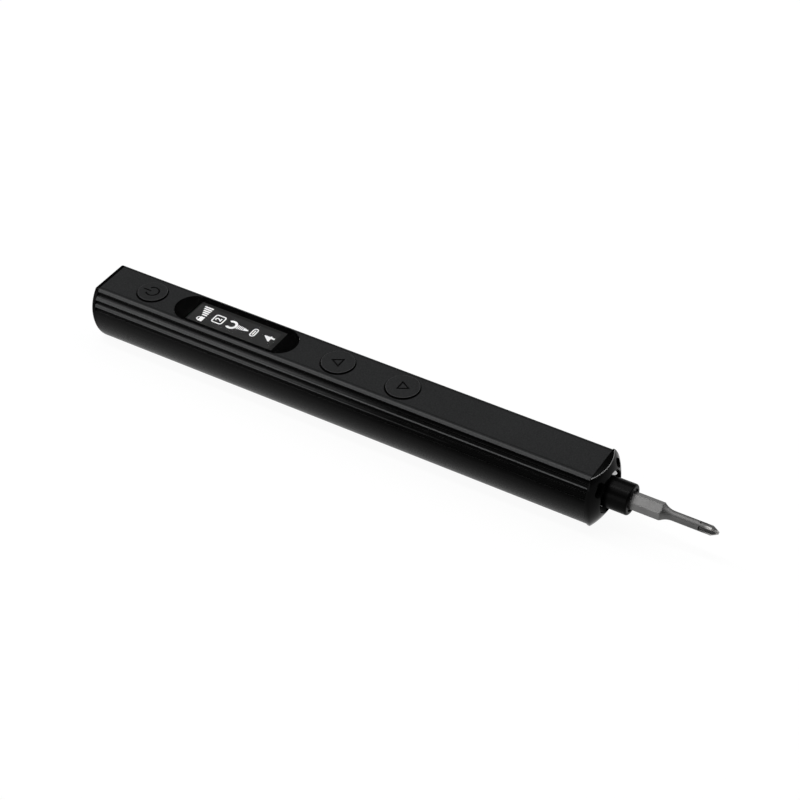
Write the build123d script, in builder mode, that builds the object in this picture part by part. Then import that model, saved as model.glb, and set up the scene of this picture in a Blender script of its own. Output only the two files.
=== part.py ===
from build123d import *
from math import acos, cos, pi, radians, sin, sqrt, tan
import os

# Electric torque screwdriver, pen style, lying on its belly.
# Millimetres. +X runs along the spindle to the bit's tip, +Y to the side that
# lies on the left of someone looking along +X, +Z up through the display.
# The origin is on the belly plane, halfway along the body.

os.makedirs("parts", exist_ok=True)

# Clearances
slip_gap = 0.10          # pieces that slide into the tube
running_gap = 0.03       # shafts in their bearings, radial
pin_gap = 0.04           # planet bores on their pins, radial
button_gap = 0.15        # button rims in the tube, radial
seat_gap = 0.05          # glued or dropped-in pieces
axial_gap = 0.30         # between pieces that turn past each other

# Tube section
window_thickness = 1.0
window_ledge_thickness = 0.4
wall = window_thickness + window_ledge_thickness
belly_flat_width = 8.6
belly_corner_radius = 2.0
top_corner_radius = 0.7
widest_height = 10.0
groove_radius = 0.5
groove_drop = 1.3
groove_pitch = 1.9
groove_count = 3
groove_lip_radius = 0.25

# Display window and buttons
window_length = 36.3
window_width = 10.5
window_rim = 0.45
window_ledge = 0.6
panel_length = 27.6
panel_offset = 0.8
carrier_rail = 1.2
panel_side_gap = 0.45
panel_thickness = 1.4
power_diameter = 8.0
direction_diameter = 8.8
button_rise = 0.4
button_edge_radius = 0.25
button_flange = 0.4
button_flange_thickness = 0.7
button_flange_play = 0.1
button_travel = 0.25
stem_diameter = 1.6
stem_length = 0.5

# Positions along the top face, from the rear end
power_setback = 14.4
power_window_gap = 4.0
window_button_gap = 8.1
direction_button_gap = 9.9
board_front_margin = 2.7

# Board, cell and tray
board_thickness = 0.8
board_side_gap = 0.5
switch_size = 4.0
switch_height = 0.8
plunger_diameter = 1.8
plunger_rise = 0.3
cell_diameter = 10.0
cell_length = 70.0
cell_lift = 0.2
cell_edge_radius = 0.4
cell_terminal_diameter = 4.0
cell_terminal_height = 0.8
tray_floor = 0.3
tray_end_wall = 1.2
tab_thickness = 0.2
tab_width = 5.0

# Rear end
rear_plate = 1.3
rear_edge_radius = 0.6
rear_spigot_length = 3.5
spigot_wall = 1.0
usb_width = 8.94
usb_height = 3.26
usb_length = 7.3
usb_shell = 0.3
usb_floor = 0.8
usb_recess = 0.4
usb_tongue_width = 6.6
usb_tongue_thickness = 0.7
usb_tongue_setback = 0.9

# Motor
motor_diameter = 12.0
motor_can_wall = 0.5
motor_front_wall = 1.2
end_bell_thickness = 1.6
end_bell_plug_length = 1.5
motor_shaft_diameter = 1.5
armature_diameter = 7.6
armature_length = 13.0
winding_space = 3.0
commutator_diameter = 3.2
commutator_length = 4.0
commutator_space = 5.0
armature_slots = 3
armature_slot_width = 0.9
armature_slot_diameter = 2.0
armature_slot_ring = 2.3
magnet_air_gap = 0.35
magnet_split = 3.6
terminal_width = 1.4
terminal_thickness = 0.3
terminal_spacing = 5.0
terminal_reach = 3.4

# Planetary gear train: two equal stages with one long ring gear
gear_module = 0.25
sun_teeth = 12
planet_teeth = 12
planet_count = 3
pressure_angle = radians(25)
addendum = 0.8
dedendum = 1.1
tooth_backlash = 0.05
gear_width = 3.0
carrier_thickness = 1.2
output_carrier_thickness = 1.6
carrier_rim_gap = 0.3
pin_diameter = 1.0
sun_tenon_diameter = 1.6
cover_thickness = 2.0

# Drive cradle
cradle_floor = 1.25
cradle_side = 0.75
cradle_wrap = 4.0

# Nose, spindle and bit
nose_gap = 3.2
nose_spigot_length = 5.0
nose_rim = 1.4
nose_proud = 0.35
nose_dome_radius = 15.0
nose_recess_depth = 0.5
nose_recess_chamfer = 0.25
port_diameter = 1.7
port_depth = 0.8
port_ring_radius = 7.0
port_angles = (47, 133)
bush_wall = 0.6
journal_diameter = 5.0
spindle_diameter = 6.0
spindle_tenon_diameter = 3.0
spindle_shoulder_setback = 2.0
sleeve_wall = 0.95
sleeve_protrusion = 7.2
sleeve_edge_radius = 0.5
sleeve_lip = 0.4
clip_thickness = 0.5
clip_groove_depth = 0.4
clip_reach = 0.5
clip_mouth = 3.2
hex_across_flats = 4.0
hex_gap = 0.04
hex_turn = 34.0
magnet_diameter = 3.4
magnet_length = 2.0
bit_length = 28.0
bit_in_socket = 6.1
bit_hex_visible = 7.5
bit_taper_length = 3.0
bit_shank_diameter = 2.45
bit_chamfer = 0.35
bit_flute_length = 4.8
bit_flute_radius = 0.6
bit_flute_ring = 1.2
bit_tip_diameter = 0.7
bit_cone_length = 1.7

# Lights round the spindle
led_count = 3
led_start_angle = 30
led_wall = 0.3
led_recess_margin = 0.12
led_lens_diameter = 1.4
led_lens_rise = 0.2
led_size = 0.8
led_height = 0.5
led_board_thickness = 0.8
led_board_edge = 0.2

# Heights above the belly plane
motor_radius = motor_diameter / 2
half_width = motor_radius + seat_gap + cradle_side + slip_gap + wall
spindle_height = wall + slip_gap + cradle_floor + seat_gap + motor_radius
cell_height = wall + slip_gap + tray_floor + cell_diameter / 2
board_bottom = cell_height + cell_diameter / 2 + cell_lift
board_top = board_bottom + board_thickness
plunger_top = board_top + switch_height + plunger_rise
board_stack = plunger_top + stem_length + button_flange_thickness + button_flange_play
motor_stack = spindle_height + motor_radius + axial_gap
top_inside = max(board_stack, motor_stack)
body_height = top_inside + wall
top_flat_width = max(window_width, direction_diameter) + 2 * window_rim

# Lengths from the rear end, then shifted so that the origin is halfway along the body
power_x = power_setback
window_start = power_x + power_diameter / 2 + power_window_gap
window_end = window_start + window_length
reverse_x = window_end + window_button_gap + direction_diameter / 2
forward_x = reverse_x + direction_diameter + direction_button_gap
board_start = rear_plate + rear_spigot_length + axial_gap
tray_start = usb_recess + usb_length + axial_gap
cell_start = tray_start + tray_end_wall + tab_thickness
cell_end = cell_start + cell_length + cell_terminal_height
board_past_buttons = forward_x + direction_diameter / 2 + board_front_margin
board_past_cell = cell_end + tab_thickness + tray_end_wall
board_end = max(board_past_buttons, board_past_cell)
bell_start = board_end + 2 * axial_gap
can_start = bell_start + end_bell_thickness
armature_start = can_start + end_bell_plug_length + commutator_space
can_end = armature_start + armature_length + winding_space + motor_front_wall
planets_1_start = can_end + axial_gap
carrier_1_start = planets_1_start + gear_width + axial_gap
planets_2_start = carrier_1_start + carrier_thickness + axial_gap
output_carrier_start = planets_2_start + gear_width + axial_gap
output_carrier_end = output_carrier_start + output_carrier_thickness
ring_end = output_carrier_end + axial_gap
cover_end = ring_end + cover_thickness
led_board_start = cover_end + nose_gap
spigot_start = led_board_start + led_board_thickness
seam_x = spigot_start + nose_spigot_length
body_length = seam_x + nose_rim
sleeve_end = body_length + sleeve_protrusion
bit_start = sleeve_end - bit_in_socket
bit_end = bit_start + bit_length
rear_end = -body_length / 2

# Radii about the spindle
shaft_radius = motor_shaft_diameter / 2
spindle_radius = spindle_diameter / 2
journal_radius = journal_diameter / 2
sleeve_radius = spindle_radius + sleeve_wall
clip_radius = spindle_radius + clip_reach
bush_radius = spindle_radius + running_gap + bush_wall
lens_radius = led_lens_diameter / 2
led_ring_radius = bush_radius + led_wall + lens_radius + seat_gap
nose_recess_radius = led_ring_radius + lens_radius + led_recess_margin
ring_teeth = sun_teeth + 2 * planet_teeth
planet_orbit = gear_module * (sun_teeth + planet_teeth) / 2
ring_tip_radius = gear_module * (ring_teeth / 2 - addendum)
carrier_radius = ring_tip_radius - carrier_rim_gap
recess_floor = body_length - nose_recess_depth
spindle_front = sleeve_end - sleeve_lip
socket_floor = bit_start - magnet_length - seat_gap
spindle_axis = Axis((0, 0, spindle_height), (1, 0, 0))
profile_plane = Plane(origin=(rear_end, 0, spindle_height), x_dir=(1, 0, 0), z_dir=(0, -1, 0))


def across(x, height=0):
    """Plane square to the tube, x from the rear end and height above the belly."""
    return Plane(origin=(rear_end + x, 0, height), x_dir=(0, 1, 0), z_dir=(1, 0, 0))


def shaft_plane(x):
    """Plane square to the spindle axis and centred on it, x from the rear end."""
    return across(x, spindle_height)


def level(height):
    """Level plane whose local x counts from the rear end."""
    return Plane(origin=(rear_end, 0, height), x_dir=(1, 0, 0), z_dir=(0, 0, 1))


def planet_plane(x, angle):
    """Plane square to a planet's pin, with its local x pointing away from the sun."""
    outward = Vector(0, cos(radians(angle)), sin(radians(angle)))
    centre = Vector(rear_end + x, 0, spindle_height) + outward * planet_orbit
    return Plane(origin=centre, x_dir=outward, z_dir=(1, 0, 0))


def side_reach(height):
    """Half width of the tube's upper side at a height, on the arc that ends at the flat top."""
    inward = half_width - top_flat_width / 2
    rise = body_height - widest_height
    radius = (inward**2 + rise**2) / (2 * inward)
    return half_width - radius + sqrt(radius**2 - (height - widest_height) ** 2)


def body_outline(proud=0):
    """Section of the tube: flat top, flat belly and bulging sides, widened by proud."""
    side = half_width + proud
    top_half = top_flat_width / 2 + proud
    belly_half = belly_flat_width / 2 + proud
    with BuildSketch() as outline:
        with BuildLine():
            TangentArc((side, widest_height), (top_half, body_height), tangent=(0, 1))
            Line((top_half, body_height), (-top_half, body_height))
            TangentArc((-side, widest_height), (-top_half, body_height), tangent=(0, 1))
            TangentArc((-side, widest_height), (-belly_half, 0), tangent=(0, -1))
            Line((-belly_half, 0), (belly_half, 0))
            TangentArc((side, widest_height), (belly_half, 0), tangent=(0, -1))
        make_face()
        fillet(outline.vertices().group_by(Axis.Y)[0], belly_corner_radius)
        fillet(outline.vertices().group_by(Axis.Y)[-1], top_corner_radius)
    return outline.sketch


def grooved_outline():
    """Section of the tube with its grip grooves cut in and their lips rounded."""
    centres = []
    for groove in range(groove_count):
        height = body_height - groove_drop - groove * groove_pitch
        centres.append(Vector(side_reach(height), height))
        centres.append(Vector(-side_reach(height), height))
    with BuildSketch() as grooved:
        add(body_outline())
        with Locations(*centres):
            Circle(groove_radius, mode=Mode.SUBTRACT)
        lips = ShapeList()
        for centre in centres:
            lips += grooved.vertices().sort_by_distance(centre)[:2]
        fillet(lips, groove_lip_radius)
    return grooved.sketch


def inside_outline(gap=0):
    """Section of the tube's inside, made smaller by gap all round."""
    with BuildSketch() as inside:
        add(body_outline())
        offset(amount=-wall - gap, kind=Kind.INTERSECTION, mode=Mode.REPLACE)
    return inside.sketch


def gear_outline(teeth, tip, root, backlash, start_angle):
    """Spur gear outline; tip and root are in modules from the pitch circle."""
    pitch_radius = gear_module * teeth / 2
    base_radius = pitch_radius * cos(pressure_angle)
    tip_radius = pitch_radius + tip * gear_module
    root_radius = pitch_radius - root * gear_module
    half_tooth = pi / (2 * teeth) - backlash / (4 * pitch_radius) + tan(pressure_angle) - pressure_angle

    def flank(radius, side):
        """Point of the involute flank at a radius, on one side of a tooth along local x."""
        roll = acos(min(1, base_radius / radius))
        angle = side * (half_tooth - tan(roll) + roll)
        return (radius * cos(angle), radius * sin(angle))

    foot_radius = max(base_radius, root_radius)
    middle_radius = (foot_radius + tip_radius) / 2
    with BuildSketch() as tooth:
        with BuildLine():
            Line((0, 0), flank(foot_radius, 1))
            ThreePointArc(flank(foot_radius, 1), flank(middle_radius, 1), flank(tip_radius, 1))
            Line(flank(tip_radius, 1), flank(tip_radius, -1))
            ThreePointArc(flank(tip_radius, -1), flank(middle_radius, -1), flank(foot_radius, -1))
            Line(flank(foot_radius, -1), (0, 0))
        make_face()
    with BuildSketch() as gear:
        Circle(root_radius)
        with PolarLocations(0, teeth, start_angle):
            add(tooth.sketch)
    return gear.sketch


# Casing: extruded tube, two end caps and the display window
window_middle = (window_start + window_end) / 2
buttons = (
    ("power", power_x, power_diameter / 2),
    ("reverse", reverse_x, direction_diameter / 2),
    ("forward", forward_x, direction_diameter / 2),
)

with BuildPart() as body_tube:
    with BuildSketch(across(rear_plate)):
        add(grooved_outline())
        add(inside_outline(), mode=Mode.SUBTRACT)
    extrude(amount=seam_x - rear_plate)
    with BuildSketch(level(body_height)):
        with Locations((window_middle, 0)):
            SlotOverall(window_length + 2 * seat_gap, window_width + 2 * seat_gap)
    extrude(amount=-window_thickness, mode=Mode.SUBTRACT)
    with BuildSketch(level(body_height)):
        with Locations((window_middle, 0)):
            SlotOverall(window_length - 2 * window_ledge, window_width - 2 * window_ledge)
        for button_name, button_x, button_radius in buttons:
            with Locations((button_x, 0)):
                Circle(button_radius + button_gap)
    extrude(amount=-2 * wall, mode=Mode.SUBTRACT)
    with BuildSketch(level(top_inside)):
        for button_name, button_x, button_radius in buttons:
            with Locations((button_x, 0)):
                Circle(button_radius + button_flange + button_gap)
    extrude(amount=board_top - top_inside, mode=Mode.SUBTRACT)
body_tube.part.label = "body_tube"
export_step(body_tube.part, "parts/body_tube.step")

usb_centre = board_bottom - usb_height / 2

with BuildPart() as rear_cap:
    with BuildSketch(across(0)):
        add(body_outline())
    extrude(amount=rear_plate)
    fillet(rear_cap.edges().group_by(Axis.X)[0], rear_edge_radius)
    with BuildSketch(across(rear_plate)):
        add(inside_outline(slip_gap))
        add(inside_outline(slip_gap + spigot_wall), mode=Mode.SUBTRACT)
    extrude(amount=rear_spigot_length)
    with BuildSketch(across(0, usb_centre)):
        SlotOverall(usb_width + 2 * seat_gap, usb_height + 2 * seat_gap)
    extrude(amount=rear_plate + rear_spigot_length, mode=Mode.SUBTRACT)
rear_cap.part.label = "rear_cap"
export_step(rear_cap.part, "parts/rear_cap.step")

nose_apex = body_length + nose_dome_radius - sqrt(nose_dome_radius**2 - half_width**2)
nose_crown = nose_apex - seam_x
nose_dome_reach = sqrt(nose_crown * (2 * nose_dome_radius - nose_crown))
recess_rim = nose_apex - nose_dome_radius + sqrt(nose_dome_radius**2 - nose_recess_radius**2)
recess_wall_end = recess_rim - nose_recess_chamfer
recess_mouth_radius = nose_recess_radius + nose_apex - recess_wall_end

with BuildPart() as nose_cap:
    with BuildSketch(across(seam_x)):
        add(body_outline(nose_proud))
    extrude(amount=nose_crown)
    with BuildSketch(profile_plane):
        with BuildLine():
            TangentArc((nose_apex, 0), (seam_x, nose_dome_reach), tangent=(0, 1))
            Polyline((seam_x, nose_dome_reach), (seam_x, 0), (nose_apex, 0))
        make_face()
    revolve(axis=spindle_axis, mode=Mode.INTERSECT)
    with BuildSketch(across(spigot_start)):
        add(inside_outline(slip_gap))
    extrude(amount=nose_spigot_length)
    with BuildSketch(shaft_plane(spigot_start)):
        Circle(bush_radius)
        with PolarLocations(led_ring_radius, led_count, led_start_angle):
            Circle(lens_radius + seat_gap)
    extrude(amount=recess_floor - spigot_start, mode=Mode.SUBTRACT)
    with BuildSketch(profile_plane):
        with BuildLine():
            Polyline(
                (recess_floor, 0),
                (recess_floor, nose_recess_radius),
                (recess_wall_end, nose_recess_radius),
                (nose_apex, recess_mouth_radius),
                (nose_apex, 0),
                close=True,
            )
        make_face()
    revolve(axis=spindle_axis, mode=Mode.SUBTRACT)
    with BuildSketch(shaft_plane(body_length - port_depth)):
        for port_angle in port_angles:
            with PolarLocations(port_ring_radius, 1, port_angle):
                Circle(port_diameter / 2)
    extrude(amount=nose_apex - body_length + port_depth, mode=Mode.SUBTRACT)
nose_cap.part.label = "nose_cap"
export_step(nose_cap.part, "parts/nose_cap.step")

with BuildPart() as display_window:
    with BuildSketch(level(body_height - window_thickness)):
        with Locations((window_middle, 0)):
            SlotOverall(window_length, window_width)
    extrude(amount=window_thickness)
display_window.part.label = "display_window"
export_step(display_window.part, "parts/display_window.step")

# Display and main board
panel_width = window_width - 2 * (window_ledge + panel_side_gap)
panel_bottom = body_height - window_thickness - seat_gap - panel_thickness
panel_middle = window_middle + panel_offset

with BuildPart() as display_panel:
    with BuildSketch(level(panel_bottom)):
        with Locations((panel_middle, 0)):
            Rectangle(panel_length, panel_width)
    extrude(amount=panel_thickness)
display_panel.part.label = "display_panel"
export_step(display_panel.part, "parts/display_panel.step")

with BuildPart() as display_carrier:
    with BuildSketch(level(board_top)):
        with Locations((panel_middle, 0)):
            Rectangle(panel_length, panel_width)
            Rectangle(panel_length - 2 * carrier_rail, panel_width - 2 * carrier_rail, mode=Mode.SUBTRACT)
    extrude(amount=panel_bottom - board_top)
display_carrier.part.label = "display_carrier"
export_step(display_carrier.part, "parts/display_carrier.step")

board_width = 2 * (side_reach(board_top) - wall - board_side_gap)

with BuildPart() as main_board:
    with BuildSketch(level(board_bottom)):
        with Locations(((board_start + board_end) / 2, 0)):
            Rectangle(board_end - board_start, board_width)
    extrude(amount=board_thickness)
main_board.part.label = "main_board"
export_step(main_board.part, "parts/main_board.step")

with BuildPart() as tact_switches:
    with BuildSketch(level(board_top)):
        for button_name, button_x, button_radius in buttons:
            with Locations((button_x, 0)):
                Rectangle(switch_size, switch_size)
                Circle(plunger_diameter / 2 + seat_gap, mode=Mode.SUBTRACT)
    extrude(amount=switch_height)
tact_switches.part.label = "tact_switches"
export_step(tact_switches.part, "parts/tact_switches.step")

with BuildPart() as usb_socket:
    with BuildSketch(across(usb_recess, usb_centre)):
        SlotOverall(usb_width, usb_height)
    extrude(amount=usb_length)
    with BuildSketch(across(usb_recess, usb_centre)):
        SlotOverall(usb_width - 2 * usb_shell, usb_height - 2 * usb_shell)
    extrude(amount=usb_length - usb_floor, mode=Mode.SUBTRACT)
    with BuildSketch(across(usb_recess + usb_tongue_setback, usb_centre)):
        Rectangle(usb_tongue_width, usb_tongue_thickness)
    extrude(amount=usb_length - usb_floor - usb_tongue_setback)
usb_socket.part.label = "usb_socket"
export_step(usb_socket.part, "parts/usb_socket.step")

# Buttons, each with the plunger of the switch that it presses
flange_bottom = top_inside - button_flange_play - button_flange_thickness

for button_name, button_x, button_radius in buttons:
    with BuildPart() as button:
        with BuildSketch(level(flange_bottom)):
            with Locations((button_x, 0)):
                Circle(button_radius + button_flange)
        extrude(amount=button_flange_thickness)
        with BuildSketch(level(flange_bottom)):
            with Locations((button_x, 0)):
                Circle(button_radius)
        extrude(amount=body_height + button_rise - flange_bottom)
        fillet(button.edges().group_by(Axis.Z)[-1], button_edge_radius)
        with BuildSketch(level(plunger_top)):
            with Locations((button_x, 0)):
                Circle(stem_diameter / 2)
        extrude(amount=flange_bottom - plunger_top)
    button.part.label = f"{button_name}_button"
    export_step(button.part, f"parts/{button_name}_button.step")

    with BuildPart() as plunger:
        with BuildSketch(level(board_top + button_travel + seat_gap)):
            with Locations((button_x, 0)):
                Circle(plunger_diameter / 2)
        extrude(amount=switch_height + plunger_rise - button_travel - seat_gap)
    plunger.part.label = f"{button_name}_plunger"
    export_step(plunger.part, f"parts/{button_name}_plunger.step")

# Tray, cell and its welded tabs
with BuildPart() as board_tray:
    with BuildSketch(across(tray_start)):
        add(inside_outline(slip_gap))
        with Locations((0, board_bottom / 2)):
            Rectangle(2 * half_width, board_bottom, mode=Mode.INTERSECT)
    extrude(amount=board_end - tray_start)
    with BuildSketch(across(cell_start - tab_thickness, cell_height)):
        Circle(cell_diameter / 2 + seat_gap)
        with Locations((0, (board_bottom - cell_height) / 2)):
            Rectangle(cell_diameter + 2 * seat_gap, board_bottom - cell_height)
    extrude(amount=cell_end - cell_start + 2 * tab_thickness, mode=Mode.SUBTRACT)
board_tray.part.label = "board_tray"
export_step(board_tray.part, "parts/board_tray.step")

with BuildPart() as battery_cell:
    with BuildSketch(across(cell_start, cell_height)):
        Circle(cell_diameter / 2)
    extrude(amount=cell_length)
    fillet(battery_cell.edges().filter_by(GeomType.CIRCLE), cell_edge_radius)
    with BuildSketch(across(cell_start + cell_length, cell_height)):
        Circle(cell_terminal_diameter / 2)
    extrude(amount=cell_terminal_height)
battery_cell.part.label = "battery_cell"
export_step(battery_cell.part, "parts/battery_cell.step")

tab_height = board_bottom - cell_height + tab_width / 2

with BuildPart() as cell_tabs:
    for tab_x in (cell_start - tab_thickness, cell_end):
        with BuildSketch(across(tab_x, board_bottom - tab_height / 2)):
            Rectangle(tab_width, tab_height)
        extrude(amount=tab_thickness)
cell_tabs.part.label = "cell_tabs"
export_step(cell_tabs.part, "parts/cell_tabs.step")

# Motor in its cradle
with BuildPart() as drive_cradle:
    with BuildSketch(across(bell_start)):
        add(inside_outline(slip_gap))
        with Locations((0, (spindle_height + cradle_wrap) / 2)):
            Rectangle(2 * half_width, spindle_height + cradle_wrap, mode=Mode.INTERSECT)
        with Locations((0, spindle_height)):
            Circle(motor_radius + seat_gap, mode=Mode.SUBTRACT)
    extrude(amount=cover_end - bell_start)
drive_cradle.part.label = "drive_cradle"
export_step(drive_cradle.part, "parts/drive_cradle.step")

can_inside = motor_radius - motor_can_wall

with BuildPart() as motor_can:
    with BuildSketch(shaft_plane(can_start)):
        Circle(motor_radius)
        Circle(shaft_radius + running_gap, mode=Mode.SUBTRACT)
    extrude(amount=can_end - can_start)
    with BuildSketch(shaft_plane(can_start)):
        Circle(can_inside)
    extrude(amount=can_end - motor_front_wall - can_start, mode=Mode.SUBTRACT)
motor_can.part.label = "motor_can"
export_step(motor_can.part, "parts/motor_can.step")

with BuildPart() as motor_end_bell:
    with BuildSketch(shaft_plane(bell_start)):
        Circle(motor_radius)
    extrude(amount=end_bell_thickness)
    with BuildSketch(shaft_plane(can_start)):
        Circle(can_inside - seat_gap)
    extrude(amount=end_bell_plug_length)
    with BuildSketch(shaft_plane(bell_start)):
        Circle(shaft_radius + running_gap)
    extrude(amount=end_bell_thickness + end_bell_plug_length, mode=Mode.SUBTRACT)
motor_end_bell.part.label = "motor_end_bell"
export_step(motor_end_bell.part, "parts/motor_end_bell.step")

with BuildPart() as motor_terminals:
    with BuildSketch(level(board_top)):
        with Locations((bell_start - terminal_reach / 2, 0)):
            with GridLocations(0, terminal_spacing, 1, 2):
                Rectangle(terminal_reach, terminal_width)
    extrude(amount=terminal_thickness)
motor_terminals.part.label = "motor_terminals"
export_step(motor_terminals.part, "parts/motor_terminals.step")

armature_radius = armature_diameter / 2

with BuildPart() as motor_magnets:
    with BuildSketch(shaft_plane(armature_start)):
        Circle(can_inside)
        Circle(armature_radius + magnet_air_gap, mode=Mode.SUBTRACT)
        Rectangle(magnet_split, motor_diameter, mode=Mode.SUBTRACT)
    extrude(amount=armature_length)
motor_magnets.part.label = "motor_magnets"
export_step(motor_magnets.part, "parts/motor_magnets.step")

with BuildPart() as motor_armature:
    with BuildSketch(shaft_plane(armature_start)):
        Circle(armature_radius)
        Circle(shaft_radius, mode=Mode.SUBTRACT)
        with PolarLocations(armature_slot_ring, armature_slots):
            Circle(armature_slot_diameter / 2, mode=Mode.SUBTRACT)
        with PolarLocations((armature_slot_ring + armature_radius) / 2, armature_slots):
            Rectangle(armature_radius - armature_slot_ring, armature_slot_width, mode=Mode.SUBTRACT)
    extrude(amount=armature_length)
motor_armature.part.label = "motor_armature"
export_step(motor_armature.part, "parts/motor_armature.step")

with BuildPart() as motor_commutator:
    with BuildSketch(shaft_plane(armature_start - commutator_length)):
        Circle(commutator_diameter / 2)
        Circle(shaft_radius, mode=Mode.SUBTRACT)
    extrude(amount=commutator_length)
motor_commutator.part.label = "motor_commutator"
export_step(motor_commutator.part, "parts/motor_commutator.step")

with BuildPart() as motor_shaft:
    with BuildSketch(shaft_plane(bell_start)):
        Circle(shaft_radius)
    extrude(amount=planets_1_start + gear_width - bell_start)
motor_shaft.part.label = "motor_shaft"
export_step(motor_shaft.part, "parts/motor_shaft.step")

# Planetary gearbox: each planet turns on a pin of its carrier, inside the fixed ring
planet_phase = 180 + 180 / planet_teeth
ring_phase = planet_phase * planet_teeth / ring_teeth
sun_outline = gear_outline(sun_teeth, addendum, dedendum, tooth_backlash, 0)
planet_outline = gear_outline(planet_teeth, addendum, dedendum, tooth_backlash, planet_phase)
ring_space_outline = gear_outline(ring_teeth, dedendum, addendum, -tooth_backlash, ring_phase)

with BuildPart() as motor_pinion:
    with BuildSketch(shaft_plane(planets_1_start)):
        add(sun_outline)
        Circle(shaft_radius, mode=Mode.SUBTRACT)
    extrude(amount=gear_width)
motor_pinion.part.label = "motor_pinion"
export_step(motor_pinion.part, "parts/motor_pinion.step")

with BuildPart() as ring_gear:
    with BuildSketch(shaft_plane(can_end)):
        Circle(motor_radius)
        add(ring_space_outline, mode=Mode.SUBTRACT)
    extrude(amount=ring_end - can_end)
ring_gear.part.label = "ring_gear"
export_step(ring_gear.part, "parts/ring_gear.step")

for stage, stage_start in ((1, planets_1_start), (2, planets_2_start)):
    for index in range(planet_count):
        with BuildPart() as planet:
            with BuildSketch(planet_plane(stage_start, index * 360 / planet_count)):
                add(planet_outline)
                Circle(pin_diameter / 2 + pin_gap, mode=Mode.SUBTRACT)
            extrude(amount=gear_width)
        planet.part.label = f"stage_{stage}_planet_{index + 1}"
        export_step(planet.part, f"parts/stage_{stage}_planet_{index + 1}.step")

carriers = (
    ("stage_1", planets_1_start, carrier_1_start, carrier_thickness, sun_tenon_diameter / 2),
    ("output", planets_2_start, output_carrier_start, output_carrier_thickness, spindle_tenon_diameter / 2),
)

for carrier_name, pin_start, carrier_start, thickness, centre_radius in carriers:
    with BuildPart() as carrier:
        with BuildSketch(shaft_plane(carrier_start)):
            Circle(carrier_radius)
            Circle(centre_radius, mode=Mode.SUBTRACT)
            with PolarLocations(planet_orbit, planet_count):
                Circle(pin_diameter / 2, mode=Mode.SUBTRACT)
        extrude(amount=thickness)
    carrier.part.label = f"{carrier_name}_carrier"
    export_step(carrier.part, f"parts/{carrier_name}_carrier.step")

    with BuildPart() as pins:
        with BuildSketch(shaft_plane(pin_start)):
            with PolarLocations(planet_orbit, planet_count):
                Circle(pin_diameter / 2)
        extrude(amount=carrier_start + thickness - pin_start)
    pins.part.label = f"{carrier_name}_pins"
    export_step(pins.part, f"parts/{carrier_name}_pins.step")

sun_2_start = carrier_1_start + carrier_thickness

with BuildPart() as stage_2_sun:
    with BuildSketch(shaft_plane(sun_2_start)):
        add(sun_outline)
    extrude(amount=planets_2_start + gear_width - sun_2_start)
    with BuildSketch(shaft_plane(carrier_1_start)):
        Circle(sun_tenon_diameter / 2)
    extrude(amount=carrier_thickness)
stage_2_sun.part.label = "stage_2_sun"
export_step(stage_2_sun.part, "parts/stage_2_sun.step")

with BuildPart() as gearbox_cover:
    with BuildSketch(shaft_plane(ring_end)):
        Circle(motor_radius)
        Circle(journal_radius + running_gap, mode=Mode.SUBTRACT)
    extrude(amount=cover_thickness)
gearbox_cover.part.label = "gearbox_cover"
export_step(gearbox_cover.part, "parts/gearbox_cover.step")

# Spindle with its hex socket, sleeve, magnet, bush and clip
shoulder_x = spigot_start - spindle_shoulder_setback
clip_end = spigot_start - axial_gap
clip_start = clip_end - clip_thickness
groove_radius_at_clip = spindle_radius - clip_groove_depth

with BuildPart() as spindle:
    with BuildSketch(profile_plane):
        with BuildLine():
            Polyline(
                (output_carrier_start, 0),
                (output_carrier_start, spindle_tenon_diameter / 2),
                (output_carrier_end, spindle_tenon_diameter / 2),
                (output_carrier_end, journal_radius),
                (shoulder_x, journal_radius),
                (shoulder_x, spindle_radius),
                (clip_start, spindle_radius),
                (clip_start, groove_radius_at_clip),
                (clip_end, groove_radius_at_clip),
                (clip_end, spindle_radius),
                (spindle_front, spindle_radius),
                (spindle_front, 0),
                close=True,
            )
        make_face()
    revolve(axis=spindle_axis)
    with BuildSketch(shaft_plane(socket_floor)):
        RegularPolygon(hex_across_flats / 2 + hex_gap, 6, major_radius=False, rotation=hex_turn)
    extrude(amount=spindle_front - socket_floor, mode=Mode.SUBTRACT)
spindle.part.label = "spindle"
export_step(spindle.part, "parts/spindle.step")

with BuildPart() as spindle_clip:
    with BuildSketch(shaft_plane(clip_start)):
        Circle(clip_radius)
        Circle(groove_radius_at_clip, mode=Mode.SUBTRACT)
        with Locations((0, -clip_radius)):
            Rectangle(clip_mouth, 2 * clip_radius, mode=Mode.SUBTRACT)
    extrude(amount=clip_thickness)
spindle_clip.part.label = "spindle_clip"
export_step(spindle_clip.part, "parts/spindle_clip.step")

with BuildPart() as spindle_bush:
    with BuildSketch(shaft_plane(spigot_start)):
        Circle(bush_radius)
        Circle(spindle_radius + running_gap, mode=Mode.SUBTRACT)
    extrude(amount=recess_floor - spigot_start)
spindle_bush.part.label = "spindle_bush"
export_step(spindle_bush.part, "parts/spindle_bush.step")

sleeve_start = recess_floor + axial_gap

with BuildPart() as chuck_sleeve:
    with BuildSketch(shaft_plane(sleeve_start)):
        Circle(sleeve_radius)
    extrude(amount=sleeve_end - sleeve_start)
    fillet(chuck_sleeve.edges().group_by(Axis.X)[-1], sleeve_edge_radius)
    with BuildSketch(shaft_plane(sleeve_start)):
        Circle(spindle_radius)
    extrude(amount=sleeve_end - sleeve_start, mode=Mode.SUBTRACT)
chuck_sleeve.part.label = "chuck_sleeve"
export_step(chuck_sleeve.part, "parts/chuck_sleeve.step")

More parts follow.
